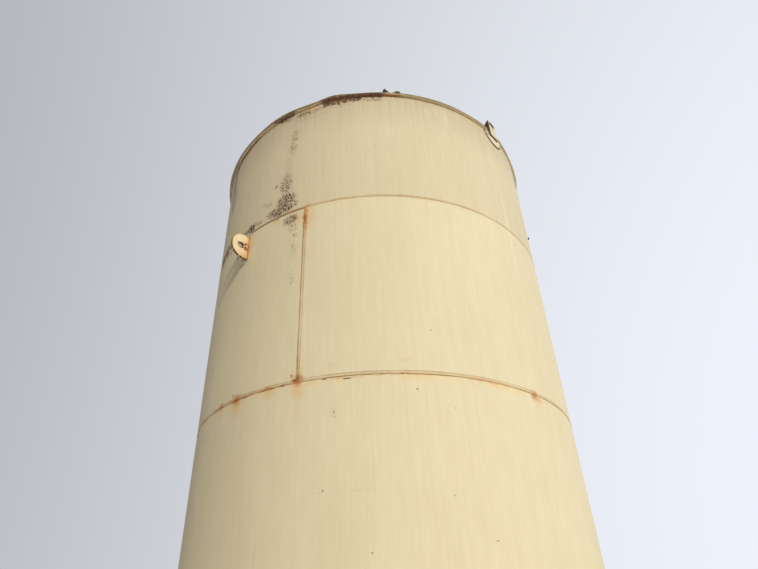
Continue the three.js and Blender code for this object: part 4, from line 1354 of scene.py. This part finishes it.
def sealAndBolt(name, neck):
    # the gasket under a neck's cover, and the bolts through cover and flange
    rim = tank["radius"] + neck["reach"]
    low, high = rim - gasket["bedding"], rim + gasket["plate"] + gasket["bedding"]
    reach = neck["flange"] - neck["sealInset"]
    outline = [(reach, low), (reach, high), (neck["bore"], high), (neck["bore"], low)]
    seal = place(turnedPiece(name + "Gasket", outline, neck["columns"], finishes["gasket"]), *laidOut(neck))
    finishPiece(seal, "rusted_steel")
    bolts = boltCircle(name + "Bolts", neck, rim + neck["cover"], rim - neck["flangePlate"])
    finishPiece(place(bolts, *laidOut(neck)), "rusted_steel")


def padRing(name, neck, outline, finish):
    # an outline of [distance from the neck's axis, height over the shell] turned about that axis
    around = np.arange(neck["columns"]) * 2 * pi / neck["columns"]
    points = []
    for distance, outwards in outline:
        azimuths = neck["azimuth"] + np.degrees(np.arcsin(distance * np.sin(around) / tank["radius"]))
        points.append(onShell(azimuths, neck["middle"] - distance * np.cos(around), outwards))
    return makePiece(name, np.concatenate(points), gridFaces(len(outline), neck["columns"], True), finish)


gasket = {"plate": 2 * mm, "bedding": 0.2 * mm}  # pressed a little into both flanges

# shell manway: a neck with its bolting flange, a pad, and a bolted cover with two grips on its gasket
bore, outside = shellManway["bore"], shellManway["bore"] + shellManway["wall"]
manwayNeck = flangedNeck("shellManwayNeck", shellManway, [(outside, 5 * mm), (outside + 5 * mm, 0)],
                         [(bore + 1 * mm, 0), (bore, 1 * mm)])
finishPiece(manwayNeck, "shell_enamel", "shell_manway_neck")

width, proud = shellManway["pad"], shellManway["padPlate"]
padOutline = [(width, -2 * mm), (width, proud - 1.5 * mm)]
padOutline += [(across, proud) for across in np.linspace(width - 2 * mm, outside + 0.3 * mm, 9)]
padOutline += [(outside + 0.3 * mm, -2 * mm)]
manwayPad = padRing("shellManwayPad", shellManway, padOutline, finishes["shell"])
finishPiece(manwayPad, "shell_enamel", "shell_manway_pad")

parts = [flangeCover("shellManwayCover", shellManway, 1.2 * mm, finishes["fitting"])]
for side in (-1, 1):
    parts.append(gripPiece(shellManway["grip"], side * shellManway["gripReach"],
                           tank["radius"] + shellManway["reach"] + shellManway["cover"], finishes["fitting"]))
manwayCover = place(joined("shellManwayCover", parts), *laidOut(shellManway))
smoothPiece(manwayCover)
finishPiece(manwayCover, "shell_enamel", "shell_manway_cover")
sealAndBolt("shellManway", shellManway)
print("shell manway ready")

# outlet: a short pipe with a hubbed slip-on flange, closed by a blind flange
bore, outside = outlet["bore"], outlet["bore"] + outlet["wall"]
hub, hubLength = outlet["hub"], outlet["hubLength"]
throat = [(outside, hubLength), (hub, hubLength), (hub + 3 * mm, 0)]
outletNeck = flangedNeck("outletNeck", outlet, throat, [(bore, 0)])
finishPiece(outletNeck, "shell_enamel", "outlet_neck", "outlet_flange")
outletBlind = place(flangeCover("outletBlind", outlet, 1.5 * mm, finishes["rust"]), *laidOut(outlet))
finishPiece(outletBlind, "rusted_steel", "outlet_blind_flange")
sealAndBolt("outlet", outlet)

neckBeads = []
for neck, radius, outwards, count in (
        (shellManway, shellManway["pad"] + 1 * mm, 1.5 * mm, 240),
        (shellManway, shellManway["bore"] + shellManway["wall"] + 2 * mm, shellManway["padPlate"] + 1.5 * mm, 200),
        (outlet, outside + 1.5 * mm, 1.5 * mm, 60)):
    neckBeads.append(circleOnShell(neck["azimuth"], neck["middle"], radius, outwards, count))
neckBeads = layBead("neckBeads", neckBeads, weld["neckLeg"], weld["neckLeg"], finishes["weld"], 161, weld["neckRipple"])
finishPiece(neckBeads, "weld_bead")
print("outlet ready")


def hingeParts(lid, seat, top, outside, finish):
    # a pin in its barrel behind the lid, two straps on the lid and two ears on the neck, all sizes in mm
    barrel = turnedPiece("barrel", discOutline(11 * mm, -70 * mm, 70 * mm, 1.5 * mm), 20, finish, looped=False)
    place(barrel, Matrix.Translation((0, lid + 13 * mm, seat + 2 * mm)), Matrix.Rotation(pi / 2, 4, "Y"))
    strap = [(lid, -60, top, 1), (lid, 14, top, 2), (lid, 14, top, 8), (lid, -60, top, 9)]
    ear = [(outside, -1, seat, -70), (outside, 16, seat, -70), (lid, 24, seat, -12), (lid, 24, seat, 8),
           (lid, 4, seat, 8), (lid, 4, seat, -30), (outside, -1, seat, -34)]
    parts = [barrel]
    for side in (-1, 1):
        for name, corners, plate, aside in (("strap", strap, 30, 42), ("ear", ear, 8, 62)):
            outline = [(-(y + past * mm), z + above * mm) for y, past, z, above in corners[::-1]]
            part = cutPlate(name, [outline], plate * mm, 1 * mm, finish)
            parts.append(place(part, Matrix.Translation((side * aside * mm, 0, 0)), radialStand))
    return parts


# roof openings: necks with lipped lids, each with a grip; the wide one has a hinge
for name, neck in (("roofManway", roofManway), ("roofNeck", roofNeck)):
    foot, rim = roofTop(neck["fromAxis"]) - thick - neck["below"], roofTop(neck["fromAxis"]) + neck["above"]
    bore, outside = neck["bore"], neck["bore"] + neck["wall"]
    tube = [(outside, foot), (outside, rim - 1 * mm), (outside - 1 * mm, rim), (bore + 1 * mm, rim),
            (bore, rim - 1 * mm), (bore, foot)]
    neckPiece = place(turnedPiece(name + "Neck", tube, neck["columns"], finishes["roof"]), *stoodUp(neck))
    finishPiece(neckPiece, "roof_enamel", neck["nodes"][0])

    seat, lid, plate, lip = rim + 0.3 * mm, neck["lid"], neck["lidPlate"], neck["lip"]
    cap = [(None, seat), (lid - plate, seat), (lid - plate, seat - lip), (lid - 1 * mm, seat - lip),
           (lid, seat - lip + 1 * mm), (lid, seat + plate - 4 * mm), (lid - 1.2 * mm, seat + plate - 1.2 * mm),
           (lid - 4 * mm, seat + plate), *domeTop(lid, seat + plate, neck["dome"])]
    finish = finishes[neck["finish"]]
    parts = [turnedPiece(name + "Lid", cap, neck["columns"], finish, looped=False)]
    parts.append(gripPiece(neck["grip"], neck["gripAcross"] * lid, seat + plate + neck["dome"] * 0.5, finish))
    if neck is roofManway:
        parts += hingeParts(lid, seat, seat + plate, outside, finish)
    cover = place(joined(name + "Lid", parts), *stoodUp(neck))
    smoothPiece(cover)
    finishPiece(cover, neck["slot"], neck["nodes"][1])
print("roof openings ready")


def scaleTree():
    # flakes of rust scale scattered over a patch, tilted and turned at random
    tree, given = startTree("rustScale", {
        "Density": "Float", "Small": "Float", "Large": "Float", "Tilt": "Float", "Seed": "Int", "Flake": "Object",
        "Finish": "Material"})
    sizes = given.outputs
    here = addNode(tree, "GeometryNodeInputPosition")
    clumps = addNode(tree, "TexNoise", {"Vector": here, "Scale": 9.0, "Detail": 3.0})
    clumps = addNode(tree, "MapRange", {0: clumps, 1: 0.42, 2: 0.62})
    worn = addNode(tree, "GeometryNodeInputNamedAttribute", {0: "worn"}, data_type="FLOAT")
    density = addNode(tree, "Math", {0: clumps, 1: sizes["Density"]}, operation="MULTIPLY")
    density = addNode(tree, "Math", {0: density, 1: worn}, operation="MULTIPLY")
    scatter = addNode(tree, "GeometryNodeDistributePointsOnFaces",
                      {0: sizes["Geometry"], "Density": density, "Seed": sizes["Seed"]}).node
    flake = addNode(tree, "GeometryNodeObjectInfo", {0: sizes["Flake"]}, output="Geometry")
    turn = addNode(tree, "FunctionNodeRandomValue", {2: 0.0, 3: 2 * pi, "Seed": sizes["Seed"]}, output=1)
    down = addNode(tree, "Math", {0: sizes["Tilt"], 1: -1.0}, operation="MULTIPLY")
    leanX = addNode(tree, "FunctionNodeRandomValue", {2: down, 3: sizes["Tilt"], "Seed": 5}, output=1)
    leanY = addNode(tree, "FunctionNodeRandomValue", {2: down, 3: sizes["Tilt"], "Seed": 6}, output=1)
    turn = addNode(tree, "CombineXYZ", {0: leanX, 1: leanY, 2: turn})
    turn = addNode(tree, "FunctionNodeEulerToRotation", {0: turn})
    turn = addNode(tree, "FunctionNodeRotateRotation", {0: scatter.outputs["Rotation"], 1: turn},
                   rotation_space="LOCAL")
    size = addNode(tree, "FunctionNodeRandomValue", {2: sizes["Small"], 3: sizes["Large"], "Seed": 8}, output=1)
    flakes = addNode(tree, "GeometryNodeInstanceOnPoints",
                     {0: scatter.outputs["Points"], 2: flake, "Rotation": turn, "Scale": size})
    endTree(tree, flakes, sizes["Finish"])
    return tree


# rust scale below the rim, where the roof weld holds water: thickest over the front, a few patches elsewhere
scale = {
    "density": 5200, "small": 7 * mm, "large": 19 * mm, "tilt": 0.42, "seed": 4,
    "lifted": [  # azimuth and outline in mm of two plates of scale that stand up on the roof's edge
        (6.1, [(-33, -6), (32, -6), (34, 12), (12, 24), (-6, 46), (-15, 62), (-23, 50), (-31, 28)]),
        (9.4, [(-44, -6), (40, -6), (42, 18), (28, 36), (14, 29), (-2, 27), (-14, 19), (-42, 14)]),
    ],
    "liftedPlate": 5 * mm, "liftedInset": 9 * mm, "lean": 14,
}


def flakeShape(seed):
    # an uneven curled chip about 1 unit across, with some thickness
    dice = np.random.default_rng(seed)
    count = 7
    angles = np.linspace(0, 2 * pi, count, endpoint=False)
    reach = dice.uniform(0.35, 0.6, count)
    rimPoints = [(r * cos(a), r * sin(a), 0.10 * dice.uniform(0.2, 1.6)) for a, r in zip(angles, reach)]
    points = [(0, 0, 0.02), (0, 0, -0.07)] + rimPoints + [(x, y, z - 0.07) for x, y, z in rimPoints]
    faces = []
    for at in range(count):
        following = (at + 1) % count
        faces.append((0, 2 + at, 2 + following))
        faces.append((1, 2 + count + following, 2 + count + at))
        faces.append((2 + at, 2 + count + at, 2 + count + following, 2 + following))
    return makePiece("flake", points, faces, finishes["scale"], 20)


flake = flakeShape(21)
points, faces, worn = [], [], []
for start, end, depth, amount in rimScales:
    azimuths = np.arange(start, end + 0.1, 1.0)
    heights = np.linspace(tank["top"] - (depth + 4) * mm, tank["top"] - 2 * mm, 5)
    first = len(points)
    for row, height in enumerate(heights):
        points += [tuple(point) for point in onShell(azimuths, np.full(len(azimuths), height), 0.5 * mm)]
        ends = np.sin(pi * np.clip((azimuths - start) / (end - start), 0, 1)) ** 0.4
        worn += list(amount * ends * (0.12 + 0.88 * (row / 4) ** 1.6))
    for row in range(4):
        for column in range(len(azimuths) - 1):
            corner = first + row * len(azimuths) + column
            faces.append((corner, corner + 1, corner + len(azimuths) + 1, corner + len(azimuths)))
patchMesh = bpy.data.meshes.new("rimScale")
patchMesh.from_pydata(points, [], faces)
patchMesh.attributes.new("worn", "FLOAT", "POINT").data.foreach_set("value", np.array(worn, np.float32))
rimScale = grow("rimScale", scaleTree(), patchMesh, {
    "Density": float(scale["density"]), "Small": scale["small"], "Large": scale["large"], "Tilt": scale["tilt"],
    "Seed": scale["seed"], "Flake": flake, "Finish": finishes["scale"]})
bpy.data.objects.remove(flake)
standing = []
for azimuth, outline in scale["lifted"]:
    outline = [(x * mm, y * mm) for x, y in outline]
    chip = cutPlate("liftedScale", [outline], scale["liftedPlate"], 0.8 * mm, finishes["slotEdge"])
    for vertex in chip.data.vertices:
        vertex.co.z -= 7 * vertex.co.x ** 2 + 4 * max(vertex.co.y, 0) ** 2  # scale curls as it lifts
    seat = Matrix.Translation(onRoof(azimuth, tank["radius"] + roof["overhang"] - scale["liftedInset"]))
    place(chip, seat, turnTo(azimuth), Matrix.Rotation(radians(scale["lean"]), 4, "X"), tangentStand)
    standing.append(chip)
rimScale = joined("rimScale", [rimScale, *standing])
finishPiece(rimScale, "rusted_steel")

# a dab of weld left on the right limb where something was once tacked on
dab = shellPath([70.6, 71.4], [4.885, 4.895], False, 3 * mm)
weldDab = layBead("weldDab", [dab], 9 * mm, 10 * mm, finishes["slotEdge"], 171, 8 * mm)
finishPiece(weldDab, "rusted_steel")
print("rim scale ready")

# studio: a pale floor, a low warm key as the sun stood, and an even pale fill
studio = {
    "floor": "#d1cabd", "floorHalf": 40.0, "dim": "#77767a", "bright": "#eaeef6", "brightTowards": 115, "fill": 1.13,
    "keyAzimuth": 26, "keyElevation": 26, "key": 2.30, "keyColour": "#fff8ea", "keyAngle": 4.0,
}
floorFinish = bpy.data.materials.new("studioFloor")
floorFinish.use_nodes = True
floorShader = floorFinish.node_tree.nodes["Principled BSDF"]
floorShader.inputs["Base Color"].default_value = linear(studio["floor"])
floorShader.inputs["Roughness"].default_value = 0.9
reach = studio["floorHalf"]
floor = makePiece("studioFloor", [(-reach, -reach, 0), (reach, -reach, 0), (reach, reach, 0), (-reach, reach, 0)],
                  [(0, 1, 2, 3)], floorFinish)

# the studio wall is brightest behind the tank and to its right, and dim behind the camera
world = bpy.data.worlds.new("paleStudio")
world.use_nodes = True
room = world.node_tree
bright = radians(studio["brightTowards"])
direction = addNode(room, "TexCoord", output="Object")
facing = addNode(room, "VectorMath", {0: direction, 1: (sin(bright), -cos(bright), 0)}, output="Value",
                 operation="DOT_PRODUCT")
facing = addNode(room, "MapRange", {0: facing, 1: -1.0, 2: 1.0})
wall = addNode(room, "Mix", {0: facing, 6: linear(studio["dim"]), 7: linear(studio["bright"])}, output=2,
               data_type="RGBA")
room.links.new(wall, room.nodes["Background"].inputs["Color"])
room.nodes["Background"].inputs["Strength"].default_value = studio["fill"]
bpy.context.scene.world = world

key = bpy.data.lights.new("key", "SUN")
key.energy = studio["key"]
key.color = linear(studio["keyColour"])[:3]
key.angle = radians(studio["keyAngle"])
keyLamp = addObject("key", key)
azimuth, elevation = radians(studio["keyAzimuth"]), radians(studio["keyElevation"])
towards = Vector((sin(azimuth) * cos(elevation), -cos(azimuth) * cos(elevation), sin(elevation)))
keyLamp.location = towards * 12
keyLamp.rotation_euler = towards.to_track_quat("Z", "Y").to_euler()

# camera: at eye height close to the tank, looking up, as the photograph was taken
view = {
    "place": (0.0, -4.9299876, 1.478), "lens": 27.24, "sensor": 36.0,
    "yaw": -3.23, "pitch": 34.52, "roll": -0.52, "shift": (30.5 / 758, -6.9 / 758),  # pixels of the width
}
yaw, pitch, roll = (radians(view[angle]) for angle in ("yaw", "pitch", "roll"))
ahead = Vector((sin(yaw) * cos(pitch), cos(yaw) * cos(pitch), sin(pitch)))
level = Vector((cos(yaw), -sin(yaw), 0))
aloft = level.cross(ahead)
rightwards = level * cos(roll) + aloft * sin(roll)
upwards = aloft * cos(roll) - level * sin(roll)
lens = bpy.data.cameras.new("camera")
lens.lens = view["lens"]
lens.sensor_width = view["sensor"]
lens.sensor_fit = "HORIZONTAL"
lens.shift_x, lens.shift_y = view["shift"]
lens.clip_end = 200
camera = addObject("camera", lens)
camera.matrix_world = Matrix.Translation(view["place"]) @ Matrix((rightwards, upwards, -ahead)).transposed().to_4x4()
bpy.context.scene.camera = camera
bpy.context.scene.view_settings.view_transform = "Standard"

bpy.context.view_layer.update()
print("scene ready")
